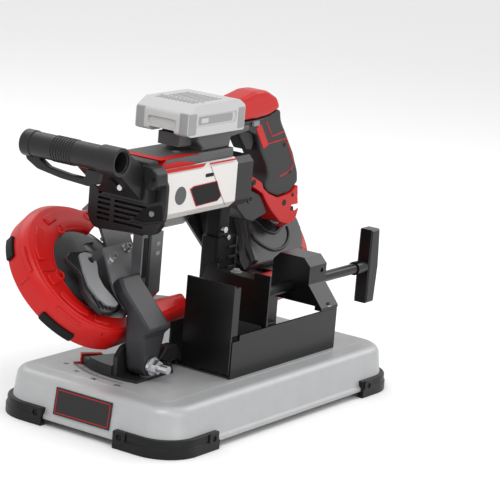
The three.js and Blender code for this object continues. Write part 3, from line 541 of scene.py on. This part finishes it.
# angle scale: ticks from 0 to 45 degrees and their numbers, on the pan
SWIVEL = (5, 92)
ZERO_ANGLE = 143.5


def scale_point(angle, radius, z=0.0):
    a = math.radians(angle)
    return at(SWIVEL[0] + radius * math.cos(a), SWIVEL[1] + radius * math.sin(a), z)


TICK_HALF = 0.16  # half a tick's width, in degrees
TICK_END = 121.5
tick_points, tick_faces = [], []
for degree in range(46):
    inner_r = 117 if degree % 5 else 115.5
    first = len(tick_points)
    for z in (-0.2, 0.08):
        inner = [(-TICK_HALF, inner_r), (TICK_HALF, inner_r)]
        outer = [(TICK_HALF, TICK_END), (-TICK_HALF, TICK_END)]
        for angle, radius in inner + outer:
            tick_points.append(scale_point(ZERO_ANGLE + degree + angle, radius, z))
    for face in [(0, 1, 2, 3), (4, 5, 6, 7), (0, 1, 5, 4), (1, 2, 6, 5), (2, 3, 7, 6), (3, 0, 4, 7)]:
        tick_faces.append(tuple(first + k for k in face))
finish(mesh_piece("scale_ticks", tick_points, tick_faces), INK_AND_SHADE, "stand")


def numeral(name, text, spot, right, up, size, material, body):
    curve = bpy.data.curves.new(name, "FONT")
    curve.body = text
    curve.size = size * MM
    curve.extrude = 0.15 * MM
    curve.align_x = curve.align_y = "CENTER"
    label = bpy.data.objects.new(name, curve)
    bpy.context.scene.collection.objects.link(label)
    normal = right.cross(up)
    label.matrix_world = Matrix.Translation(spot) @ Matrix((right, up, normal)).transposed().to_4x4()
    label.data.materials.append(material)
    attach(label, body)
    return label


for degree in (0, 15, 30, 45):
    angle = math.radians(ZERO_ANGLE + degree)
    outward = Vector((math.cos(angle), math.sin(angle), 0))
    side = Vector((outward.y, -outward.x, 0))
    numeral(
        f"scale_{degree}", str(degree), scale_point(ZERO_ANGLE + degree, 130, 0.05), side, outward,
        9, INK_AND_SHADE, "stand",
    )

# ---- wheel covers -------------------------------------------------------------------------
LEFT = (-84, 74)
MOUTH = (-76, 64)


def resample(points, count):
    """count + 1 points at equal steps along a run of points."""
    spots = [Vector(p) for p in points]
    lengths = [0]
    for a, b in zip(spots, spots[1:]):
        lengths.append(lengths[-1] + (b - a).length)
    result, k = [], 0
    for i in range(count + 1):
        goal = lengths[-1] * i / count
        while k < len(spots) - 2 and lengths[k + 1] < goal:
            k += 1
        span = max(lengths[k + 1] - lengths[k], 1e-9)
        result.append(spots[k].lerp(spots[k + 1], (goal - lengths[k]) / span))
    return result


def joined(runs, counts):
    """Runs of points resampled and put end to end, the last one with its end point."""
    points = []
    for run, count in zip(runs, counts):
        keep = count + 1 if run is runs[-1] else count
        points += resample(run, count)[:keep]
    return points


def cover_shell(name, outer_runs, inner_runs, counts, section, body):
    """A hollow cover between matched outer and inner runs; section is (offset, n) pairs, where an
    offset is measured in from the outer edge, or back from the inner edge if it is negative."""
    rings = []
    for a, b in zip(joined(outer_runs, counts), joined(inner_runs, counts)):
        across = b - a
        width = across.length
        ring = []
        for offset, n in section:
            share = offset / width if offset >= 0 else 1 + offset / width
            spot = a + across * share
            ring.append(tilted(spot.x, spot.y, n))
        rings.append(ring)
    return finish(loft(name, rings), RED, body, slot="red")


LEFT_SECTION = [
    (0, -14), (0, 6.4), (0.5, 8.8), (7.4, 17.6), (9, 18.6), (12, 18.8), (14, 20), (-6, 20), (-3, 19.4),
    (-0.6, 17), (-0.01, 6), (-2.4, 6), (-3, 16), (8, 16), (3, 10), (2.6, -14),
]
left_cover = cover_shell(
    "left_cover_shell",
    [
        [(2, 150), (-36.5, 156.2)], arc(*LEFT, 95, 60, 262, 90),
        [(-97.2, -20.1), (-60, -18.4), (46, -13.5)],
    ],
    [[(-4, 136), (-44.5, 119)], arc(*MOUTH, 63, 60, 300, 90), [(-44.5, 11), (-40, 14), (46, 14)]],
    [8, 80, 20],
    LEFT_SECTION,
    "head",
)
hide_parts("left_cover")


def polar(centre, corners):
    """Outline corners from (radius, angle) about a centre."""
    return [
        (
            centre[0] + radius * math.cos(math.radians(angle)),
            centre[1] + radius * math.sin(math.radians(angle)),
        )
        for radius, angle in corners
    ]


def facet(name, centre, r0, r1, start, end, low=19.4, high=21.6, material=RED, bevel=1.6):
    """A raised pad on a cover's face, between two radii and two angles."""
    outer_arc = polar(centre, [(r1, start + (end - start) * k / 10) for k in range(11)])
    inner_arc = polar(centre, [(r0, end + (start - end) * k / 10) for k in range(11)])
    piece = prism_mesh(name, outer_arc + inner_arc, low, high, "n")
    return finish(piece, material, "head", bevel, segments=1)


PADS = {
    "top": (68, 80, 97, 113),
    "upper": (70, 81, 126, 164),
    "boss": (66, 80, 179, 190),
    "lower": (72, 83, 198, 230),
    "bottom": (72, 84, 236, 252),
}
for name, (r0, r1, start, end) in PADS.items():
    facet(f"left_pad_{name}", LEFT, r0, r1, start, end, 18.6, 22.4, bevel=2)
facet("left_rim_upper", LEFT, 89, 94, 150, 172, 8, 15.4, bevel=1)
facet("left_rim_lower", LEFT, 89, 94, 204, 226, 8, 15.4, bevel=1)
facet("left_bumper_upper", LEFT, 91, 99, 134, 153, -14, -1, INK_AND_SHADE, bevel=1.6)
facet("left_bumper_lower", LEFT, 91, 99, 200, 228, -14, -2, INK_AND_SHADE, bevel=1.6)
for name, x, u in [("upper", -94.6, 130), ("top", -35, 139), ("middle", -141, 72)]:
    rod(
        f"left_boss_{name}", x, u, 7, 10.5, 21, "n", RED, "head", bevel=1.2,
        cuts=[cutter(disc(x, u, 4), 15, 30, "n")],
    )
    screw(f"left_boss_screw_{name}", x, u, 3.2, 12, 17.4, "n", "head", INK_AND_SHADE)


def seam(name, points, body, material=INK_AND_SHADE, radius=0.35):
    return sweep(name, [tilted(*p) for p in points], radius, material, body, 2)


seam(
    "left_seam_upper",
    [(-178.6, 82, -8), (-178.4, 82, 8), (-172, 81, 17), (-166, 80.5, 20), (-141, 78, 20)], "head",
)
seam(
    "left_seam_lower",
    [(-124, -12, 12), (-120, -6, 18.4), (-112, 2, 20.1), (-100, 8, 20.1), (-95, 11, 18)], "head",
)
seam("left_hatch_edge", [(*p, 19.9) for p in arc(*MOUTH, 66, 96, 196, 30)], "head", RED_INK, 0.4)

RIGHT_AT = (267, 77)
RIGHT_SECTION = [
    (0, -14), (0, 8), (0.5, 10.4), (7, 18.8), (9, 20.2), (12, 21), (-4, 21), (-2, 20), (-0.4, 17),
    (-0.01, 6), (-2.4, 6), (-3, 17), (8, 17), (3, 11), (2.6, -14),
]
right_cover = cover_shell(
    "right_cover_shell",
    [
        [(182, -14), (236, -18), (262, -18)], arc(*RIGHT_AT, 95, 270, 430, 90),
        [(299.5, 166.3), (236, 172)],
    ],
    [[(182, 12), (236, 13), (262, 14)], arc(*RIGHT_AT, 63, 270, 430, 90), [(288.5, 136.2), (236, 140)]],
    [10, 70, 12],
    RIGHT_SECTION,
    "head",
)
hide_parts("right_cover")
for name, start, end in [("low", 290, 312), ("mid", 322, 344), ("high", 352, 375)]:
    facet(f"right_facet_{name}", RIGHT_AT, 70, 83, start, end, 20.4, 22.6)
for k, angle in enumerate((284, 316, 348)):
    [(x, u)] = polar(RIGHT_AT, [(76, angle)])
    rod(
        f"right_boss_{k}", x, u, 5, 18, 25, "n", RED, "head",
        cuts=[cutter(disc(x, u, 2.6), 20, 30, "n")],
    )

# ---- gear case ----------------------------------------------------------------------------
case_outline = arc(272, 82, 66, 284, 415, 40) + [
    (250, 128), (240, 112), (231, 101), (222, 88), (213, 72), (199, 52), (186, 34), (184, 19)
]
case = prism_mesh("gear_case_body", case_outline, 21.4, 34, "n")
finish(case, CASTING, "head", bevel=2.2, slot="casting")
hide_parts("gear_case")
rod("gear_case_boss", 264, 72, 12, 33, 50, "n", CASTING, "head", bevel=1.8)
rod("gear_case_boss_face", 264, 72, 8.6, 49.6, 50.6, "n", PLASTIC_AND_SHADE, "head")
groove_a = [
    (222, 84), (234.6, 82.1), (246.2, 79.2), (252.1, 71.6), (258.2, 60.7), (269.5, 55.6),
    (284.8, 59.8), (294.3, 68.3),
]
groove_b = [
    (216, 74), (222.6, 63), (223.6, 54.2), (231.4, 42.0), (245.6, 33.0), (264.1, 32.1),
    (282.4, 37.9), (297.5, 48.8), (304, 60),
]
for name, run in [("upper", groove_a), ("lower", groove_b)]:
    path = flowing([(*p, 34.2) for p in run])
    sweep(f"gear_case_rib_{name}", [tilted(*p) for p in path], 2.2, CASTING, "head")
wall = [
    (184, 20, 3), (192, 18, 3), (201, 46, 8), (229, 92, 8), (252, 112, 6), (248, 120, 3),
    (226, 102, 6), (210, 72, 8), (193, 44, 8),
]
prism("gear_case_wall", wall, 33, 44, "n", CASTING, "head", bevel=1.6)
rod("gear_case_lug", 262, 112, 6.5, 33, 39, "n", CASTING, "head", bevel=1)
screw("gear_case_lug_screw", 262, 112, 3.4, 38.6, 41, "n", "head", INK_AND_SHADE)

# the right guide's bolts and ribs, and the column behind the vise with a black strip of painted shade
# at its left edge
rod("guide_bolt_high", 115, 148, 4.4, 102, 108.4, "y", STEEL, "head", 0.5, 6)
rod("guide_bolt_low", 110.5, 110, 3.4, 103, 106, "y", VISE, "head", 0.5)
rod("guide_bolt_side", 124, 137, 3.6, 102.6, 108.4, "y", ZINC, "head", 0.4, 6)
for k in range(4):
    prism(
        f"guide_rib_{k}", box(126, 142.4, 84 + 13 * k, 87 + 13 * k, 0.8), 102.4, 105.4, "y",
        PLASTIC_AND_SHADE, "head", 0.4,
    )
prism("guide_edge", box(139.6, 142.6, 75, 137, 1), 102.2, 106, "y", PLASTIC_AND_SHADE, "head", 0.5)
# a black strip of painted shade standing for the dark gap at the column's left edge
prism("column_edge_painted_shade", box(-52, -45, 112, 160, 2), 102.2, 103.4, "y", INK_AND_SHADE, "head", 0.1)
prism("column_bar", box(-43.4, -38.6, 98, 163, 1.5), 101.4, 103.4, "y", PLASTIC_AND_SHADE, "head", 0.5)
for k, z in enumerate((136, 148)):
    prism(f"column_mark_{k}", box(-27, -20, z, z + 4.6, 1), 102.4, 103.3, "y", CAP, "head", 0.2)

# the gear case's rim
rim_run = [(184, 22), (188, 36), (200, 54), (213, 73), (226, 93), (238, 110), (250, 127)]
rim = [tilted(*p[:2], 34) for p in flowing(rim_run)]
sweep("gear_case_rim", rim, 1.6, CASTING, "head")

# ---- castings and mouldings that copy or replace CAD nodes --------------------------------
# the end housing without the part that would show below the white shell
end_housing = copy_of("end_housing", "end_housing_skin")
carve(end_housing, cutter(box(122, 190, 140, 182.4), -50, 0, "x"))
finish(end_housing, PLASTIC_AND_SHADE, "head", 1.2, slot="plastic")
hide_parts("end_housing")
soft_copy("head_arm", CASTING, "head", 1.1, 10, "casting")
soft_copy("trigger", PLASTIC_AND_SHADE, "trigger", 0.8, 6, "plastic")
slab = [
    (130.4, 182, 2), (130.4, 216, 3), (149, 208, 4), (157, 195.4, 3), (184, 184.6, 3),
    (192, 176, 3), (198.6, 166, 3),
    (204, 158, 4), (190, 155.6, 4), (172, 151, 5), (156, 156, 6), (138, 171, 5),
]
gearbox = prism("gearbox_skin", slab, 103, 136, "y", CASTING, "head", bevel=1.6, slot="casting")
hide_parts("gearbox")
rod("gearbox_boss", 162, 182, 6, 101.6, 106, "y", CASTING, "head", bevel=0.8)
# a black disc of painted shade standing for the hole in the gearbox boss
rod("gearbox_boss_hole_painted_shade", 162, 182, 3, 101.2, 103, "y", INK_AND_SHADE, "head", bevel=0.2)

# ---- tension lever ------------------------------------------------------------------------
lever_outline = [
    (-138, 84, 4), (-124, 91, 5), (-106, 88, 8), (-92, 88, 8), (-87, 76, 8), (-88, 64, 8),
    (-100, 48, 14), (-104, 34, 10),
    (-98, 20, 6), (-99, 8, 3), (-118, 3, 6), (-131, 6, 8), (-139, 22, 10), (-139, 40, 12),
    (-127, 62, 14), (-134, 76, 3),
]
lever = prism("lever_body", lever_outline, 30, 37.2, "n", PLASTIC_AND_SHADE, "lever", bevel=1.4, slot="plastic")
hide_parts("tension_lever")
cap_outline = [
    (-115, 84, 4), (-124.7, 62, 14), (-130.8, 42, 14), (-128.6, 24, 10), (-121, 12, 6),
    (-107, 8, 4), (-101.5, 10.6, 2),
    (-103.6, 22, 8), (-107.6, 36, 12), (-106.6, 50, 10), (-97.4, 64, 8), (-93, 74, 6), (-97, 82, 6),
    (-106, 84.5, 6),
]
cap = prism(
    "lever_cap_skin", cap_outline, 36.6, 41, "n", CAP, "lever", bevel=1.2, slot="cap",
    cuts=[cutter(disc(-102, 73, 4.4), 30, 50, "n")],
)
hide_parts("lever_cap")
for k in range(4):
    a = -132 + 5.2 * k
    prism(
        f"lever_rib_{k}", box(a, a + 1.6, 12 - 2 * k, 30 - 2 * k, 0.6), 36.6, 38.6, "n", RUBBER,
        "lever", 0.3,
    )

# arm plate screws
for name, x, u in [("high", -29, 78), ("left", -63, 69), ("right", -22, 48)]:
    rod(f"plate_screw_washer_{name}", x, u, 5.6, 38, 39.4, "n", ZINC, "head")
    screw(f"plate_screw_{name}", x, u, 4.2, 39, 46, "n", "head")

# ---- handle -------------------------------------------------------------------------------
HANDLE = (-141, 266)
bore = cutter(disc(*HANDLE, 12, 48), 70, 212, "y")
barrel = rod(
    "handle_barrel", *HANDLE, 15, 78, 216, "y", PLASTIC_AND_SHADE, "head", bevel=1.2, steps=64, cuts=[bore],
)
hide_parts("front_handle")
for k in range(8):
    ring_bore = cutter(disc(*HANDLE, 13, 48), 70, 230, "y")
    rod(
        f"handle_rib_{k}", *HANDLE, 15.7, 142 + 4 * k, 144 + 4 * k, "y", PLASTIC_AND_SHADE, "head", 0.5, 48,
        [ring_bore],
    )
for name, radius, low, high in [("near", 17, 76, 104), ("far", 15.9, 203, 217)]:
    ring_bore = cutter(disc(*HANDLE, 13.4, 48), 60, 230, "y")
    rod(f"handle_collar_{name}", *HANDLE, radius, low, high, "y", PLASTIC_AND_SHADE, "head", 0.8, 64, [ring_bore])
loop_outline = [
    (104, 252), (106, 236, 5), (120, 231, 8), (160, 233, 30), (196, 238, 20), (214, 247, 6),
    (216, 258), (196, 258),
    (192, 250, 4), (180, 243.6, 10), (150, 240.4, 30), (126, 240, 4), (122, 252),
]
prism("handle_loop", loop_outline, -146, -136, "x", PLASTIC_AND_SHADE, "head", bevel=2.2)
bracket_outline = [
    (-141, 256), (-132, 252, 8), (-80.6, 212), (-80.6, 252, 4), (-118, 275, 14), (-141, 279),
]
prism(
    "handle_bracket", bracket_outline, 90, 153, "y", PLASTIC_AND_SHADE, "head", bevel=2.4,
    cuts=[
        cutter(disc(*HANDLE, 14, 48), 60, 230, "y"),
        cutter(box(-150, -90, 258, 300), 104, 126, "y"),
        cutter(box(105, 114, 225, 242, 3.5), -150, -86, "x"),
        cutter(box(137, 146, 225, 242, 3.5), -150, -86, "x"),
    ],
)
for k, y in enumerate((109.5, 141.5)):
    screw(f"bracket_screw_{k}", y, 226, 3.6, -99, -90, "x", "head")

strap = [
    (98, 246, 3), (91, 255.4, 5), (77, 253, 8), (69, 246, 8), (67.6, 233, 5), (75, 226, 3),
    (86, 228, 2), (88, 240, 3),
]
prism("bracket_strap", strap, -82, -60.2, "x", PLASTIC_AND_SHADE, "head", bevel=2.2)
for k in range(5):
    prism(
        f"strap_rib_{k}", box(71 + 3.4 * k, 72.4 + 3.4 * k, 231 + k, 249 + 0.6 * k, 0.6), -82.7,
        -81.6, "x", PLASTIC_AND_SHADE, "head", 0.3,
    )
screw("bracket_top_screw", 73, 240, 2.6, -83.6, -81.8, "x", "head", INK_AND_SHADE)

# ---- motor unit ---------------------------------------------------------------------------
# a black sheet of painted shade in the end housing's recess round its screw
notch = [
    (119, 178.7, 3), (112, 185.8, 2), (101.5, 197.5, 2), (75, 207, 3), (72.6, 191, 3), (77, 186, 3),
    (91, 184, 4),
]
prism("housing_recess_painted_shade", notch, -60.6, -59.6, "x", INK_AND_SHADE, "head", 0.1)
screw("housing_screw", 88, 194, 3.4, -62.4, -60.4, "x", "head", CAP)
# a black sheet of painted shade standing for the dark inside the vents at the shell's end
prism("vents_painted_shade", box(94, 173, 168, 212), -55.4, -54.1, "x", INK_AND_SHADE, "head", 0.1)
lip = [at(-60.6, y, z) for y, z in [(120, 178.6), (112, 181.6), (98, 181), (84, 184.6), (73, 187.6)]]
sweep("housing_lip", flowing(lip), 1.7, PLASTIC_AND_SHADE, "head")
SHELL_FACE = 79.8  # y of the white shell's near face
rod("shell_disc", -17.8, 212, 11, SHELL_FACE - 0.5, SHELL_FACE + 1, "y", GREY, "head", bevel=0.3)
shell_plate = [
    (0.4, 217.8, 1), (7.3, 220.4, 1), (54, 221.4, 2), (64.3, 201.5, 2), (57.5, 197.0, 1),
    (14.5, 195.4, 1),
]
prism("shell_plate", shell_plate, SHELL_FACE - 0.7, SHELL_FACE + 1, "y", INK_AND_SHADE, "head", bevel=0.2)
sweep(
    "shell_plate_edge", [at(a, SHELL_FACE - 0.6, b) for a, b, _ in shell_plate + shell_plate[:1]],
    0.45, RED_INK, "head", 2,
)
# a black rounded strip of painted shade standing for the inside of a slot in the white shell
prism(
    "shell_slot_painted_shade", box(30, 47, 228.6, 233, 2), SHELL_FACE - 0.3, SHELL_FACE + 1, "y", INK_AND_SHADE, "head",
    bevel=0.1,
)
sweep(
    "shell_seam", [at(39.8, SHELL_FACE - 0.02, 241), at(74.6, SHELL_FACE - 0.02, 190)], 0.4, GREY,
    "head", 2,
)
prism(
    "shell_stripe", [(-50, 242.6), (24, 242.6), (30, 246.2), (-50, 246.2)], SHELL_FACE - 0.4,
    SHELL_FACE + 1, "y", RED_INK, "head", 0.1,
)
prism(
    "shell_stripe_right", box(38, 92, 243.6, 245.4), SHELL_FACE - 0.4, SHELL_FACE + 1, "y", RED_INK,
    "head", 0.1,
)
for name, outline in {
    "front": [(-57, 84.4), (-46, 84.4), (-46, 148), (-57, 148)],
    "side": [(-46, 84.4), (24, 84.4), (2, 94), (-46, 96)],
    "tab": [(34, 100), (58, 92), (66, 96), (42, 106)],
}.items():
    prism(f"top_stripe_{name}", outline, 257.8, 258.25, "z", RED_INK, "head", 0.1)
prism(
    "top_stripe_slope", [(-57.5, 246.6), (-44.6, 258.5), (-43.6, 257.6), (-56.2, 246.2)], 84.3, 149,
    "y", RED_INK, "head", 0.1,
)
prism(
    "top_stripe_side", [(-52, 246.6), (-46, 252.4), (-20, 253), (14, 248), (14, 246.6)], 83.4, 84.2,
    "y", RED_INK, "head", 0.1,
)
rod("top_button", 0, 104, 7, 258, 259.2, "z", GREY, "head", bevel=0.4)
rod("top_button_mark", 0, 104, 4, 259, 259.6, "z", CAP, "head", bevel=0.2)

# ---- battery ------------------------------------------------------------------------------
pack = prism(
    "pack_body",
    [
        (-16, 284, 3), (-8, 281, 2), (100, 281, 3), (100, 311, 7), (86, 319.4, 8), (2, 319.4, 8),
        (-16, 309, 6),
    ],
    78, 156, "y", PACK, "battery", bevel=3.2, slot="pack",
    cuts=[
        cutter(box(98.4, 135.6, 270, 286.9), -30, 110, "x"),
        cutter(box(0, 82, 292, 306, 3), 70, 79.4, "y"),
        cutter(box(96, 138, 289, 300, 3), -20, -13.4, "x"),
    ],
)
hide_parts("battery_pack")
prism("pack_side_panel", box(6, 76, 294, 304, 3), 79.2, 80.4, "y", PACK_DARK, "battery", 0.3)
prism("pack_side_light", box(12, 26, 296, 302, 1.5), 78.8, 79.6, "y", PACK, "battery", 0.3)
for name, x0, x1, y0, y1 in [
    ("near_left", -16.6, 2, 77.4, 92), ("far_left", -16.6, 2, 142, 156.6),
    ("near_right", 84, 100.6, 77.4, 92), ("far_right", 84, 100.6, 142, 156.6),
]:
    corner = [(x0, y0, 3), (x1, y0, 3), (x1, y1, 3), (x0, y1, 3)]
    prism(f"pack_corner_{name}", corner, 283, 309.5, "z", PACK_DARK, "battery", 1.6)
for k in range(10):
    y = 88 + 5.8 * k
    prism(f"pack_vent_front_{k}", box(3, 17, y, y + 3, 1), 318.6, 319.9, "z", PACK_DARK, "battery", 0.2)
for k in range(9):
    y = 90 + 6 * k
    prism(
        f"pack_vent_rear_{k}", box(26, 66, y, y + 2.4, 1), 318.6, 319.9, "z", PACK_DARK, "battery",
        0.2,
    )
prism("pack_top_line", box(20.4, 21.4, 84, 150), 318.9, 319.8, "z", PACK_DARK, "battery", 0.1)

# ---- grip ---------------------------------------------------------------------------------
GRIP_Y = (101, 133)
grip_outline = [
    (130.4, 282.4, 1), (160, 282.6), (188, 284.6, 8), (212.6, 292.4, 4), (216, 277, 14),
    (232, 256, 20), (250, 232, 16),
    (264, 206, 10), (267, 192, 4), (249, 180, 6), (222, 178, 12), (199, 186, 8), (190, 195, 5),
    (197, 207, 8),
    (190, 222, 16), (176, 240, 14), (166, 262, 8), (134, 274, 3),
]
trigger_room = [(126, 284), (124, 262), (150, 238), (173, 236), (182, 250), (178, 284)]
grip = moulded(
    "grip_body", [(grip_outline, *GRIP_Y, "y")], GRIP, "head", 1.3, 24,
    [cutter(trigger_room, 106, 128, "y")], slot="rubber",
)
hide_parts("grip_near", "grip_far")
cap_side = [
    (106, 284, 2), (104, 297, 6), (122, 311, 10), (158, 318.6, 20), (180, 318, 16), (204, 307, 12),
    (213, 293, 3), (188, 285.6, 4), (160, 283.4),
]
grip_cap = moulded("grip_cap_skin", [(cap_side, *GRIP_Y, "y")], RED, "head", 1.2, 50, slot="red")
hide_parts("grip_cap")
prism(
    "grip_insert", [(160, 272, 1), (170, 277, 1), (191, 248, 2), (180, 243.5, 2)], 100.3, 104, "y",
    RED, "head", 0.5,
)
pin_runs = {
    "upper": [(181.5, 279), (190, 268), (198.7, 257.7), (212, 260), (225, 262)],
    "lower": [
        (190, 249), (210, 250.6), (229.4, 252), (238, 240), (247, 226), (252, 217.5), (248, 211),
        (236, 206), (222, 203.4),
    ],
}
for name, run in pin_runs.items():
    sweep(f"grip_line_{name}", [at(a, 101.3, b) for a, b in run], 0.9, RED_INK, "head", 3)
# black discs of painted shade standing for two holes in the grip's side
for k, (a, b) in enumerate([(227, 244), (245, 208)]):
    rod(f"grip_hole_painted_shade_{k}", a, b, 2.6, 100.6, 103, "y", INK_AND_SHADE, "head", bevel=0.2)
root_outline = [
    (155, 213, 3), (162, 198, 3), (186, 186, 4), (198, 171.6, 6), (212, 158.4, 4), (231, 143.4, 4),
    (251, 137.4, 6),
    (266, 141, 6), (272, 154, 6), (268, 174, 4), (266.4, 190, 3), (250, 179, 8), (222, 176.4, 12),
    (200, 184.6, 8),
    (187, 193, 4), (184, 200, 4), (168, 208, 4),
]
root = moulded(
    "grip_root_skin", [(root_outline, 100, 134, "y")], RED, "head", 1.2, 6,
    [cutter(disc(264, 72, 13.2), 28, 90, "n")], slot="red",
)
moulded(
    "grip_root_leg",
    [([(262, 88, 3), (306, 88, 3), (300, 111, 6), (262, 111, 3)], 34.9, 68, "n"),
     ([(279, 62, 3), (300, 62, 4), (321, 88, 6), (306, 111, 5), (279, 111)], 34.9, 51, "n")],
    RED, "head", 1.2, 5, [cutter(disc(264, 72, 13.2), 28, 90, "n")],
)
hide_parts("grip_root")
# dark discs of painted shade standing for the shaded holes round the root's screws
for k, (a, b, r) in enumerate([(164.5, 203, 4.2), (237, 168, 4.2), (255, 176, 2.6), (256, 158, 3)]):
    rod(f"root_hole_painted_shade_{k}", a, b, r, 99.4, 101.4, "y", PLASTIC_AND_SHADE, "head", bevel=0.3)
    screw(f"root_screw_{k}", a, b, r * 0.62, 101.6, 99.2, "y", "head", INK_AND_SHADE)

# ---- vise ---------------------------------------------------------------------------------
for k, (x, y) in enumerate([(209, 4.4), (209, 85.6)]):
    rod(f"housing_washer_{k}", x, y, 5.4, 57, 58, "z", ZINC, "stand", 0.2)
    rod(f"housing_bolt_{k}", x, y, 4.2, 58, 61.4, "z", VISE, "stand", 0.5, 6)
jaw_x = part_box("movable_jaw")[0].x / MM - ORIGIN.x / MM
rod("jaw_bolt", jaw_x + 13, 12, 3.2, 55.6, 59, "z", ZINC, "jaw", 0.4, 6)
rod("jaw_top_washer", jaw_x + 13, 60, 7, 107.6, 109, "z", CAP, "jaw", 0.3)
rod("jaw_top_bolt", jaw_x + 13, 60, 4.6, 109, 112, "z", CAP, "jaw", 0.5, 6)
# a black disc of painted shade standing for a hole in the movable jaw's face
rod("jaw_face_hole_painted_shade", 20, 88, 3, jaw_x - 0.25, jaw_x + 0.4, "x", INK_AND_SHADE, "jaw", 0.1)

# ---- stage --------------------------------------------------------------------------------
FLOOR_GAP = 0.0002  # metres, so that the floor and the soles do not share a plane
floor_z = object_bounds()[0].z - FLOOR_GAP
floor = bpy.data.objects.new("floor", bpy.data.meshes.new("floor"))
reach = 12
floor.data.from_pydata(
    [
        (-reach, -reach, floor_z), (reach, -reach, floor_z), (reach, reach, floor_z),
        (-reach, reach, floor_z),
    ],
    [],
    [(0, 1, 2, 3)],
)
bpy.context.scene.collection.objects.link(floor)
floor.data.materials.append(look("pale_floor", (0.95, 0.95, 0.95), 0.9, grain=0.0, fleck=0.0))

world = bpy.data.worlds.new("studio")
world.use_nodes = True
world.node_tree.nodes["Background"].inputs["Color"].default_value = (1, 1, 1, 1)
world.node_tree.nodes["Background"].inputs["Strength"].default_value = 0.85
bpy.context.scene.world = world


def softbox(name, spot, target, size, power):
    lamp = bpy.data.objects.new(name, bpy.data.lights.new(name, "AREA"))
    lamp.data.shape = "RECTANGLE"
    lamp.data.size, lamp.data.size_y = size
    lamp.data.energy = power
    lamp.location = spot
    lamp.rotation_euler = (Vector(target) - Vector(spot)).to_track_quat("-Z", "Y").to_euler()
    bpy.context.scene.collection.objects.link(lamp)


softbox("key", (-1.3, -0.5, 1.9), (0, 0, 0.15), (1.0, 1.0), 13)
softbox("front_fill", (-0.5, -1.9, 0.9), (0, 0, 0.15), (1.2, 1.2), 6)
softbox("right_rim", (1.6, -0.6, 1.3), (0, 0, 0.2), (0.8, 1.2), 8)
softbox("back_top", (0.4, 1.6, 1.6), (0, 0, 0.2), (1.4, 0.7), 8)
bpy.context.scene.view_settings.view_transform = "Standard"
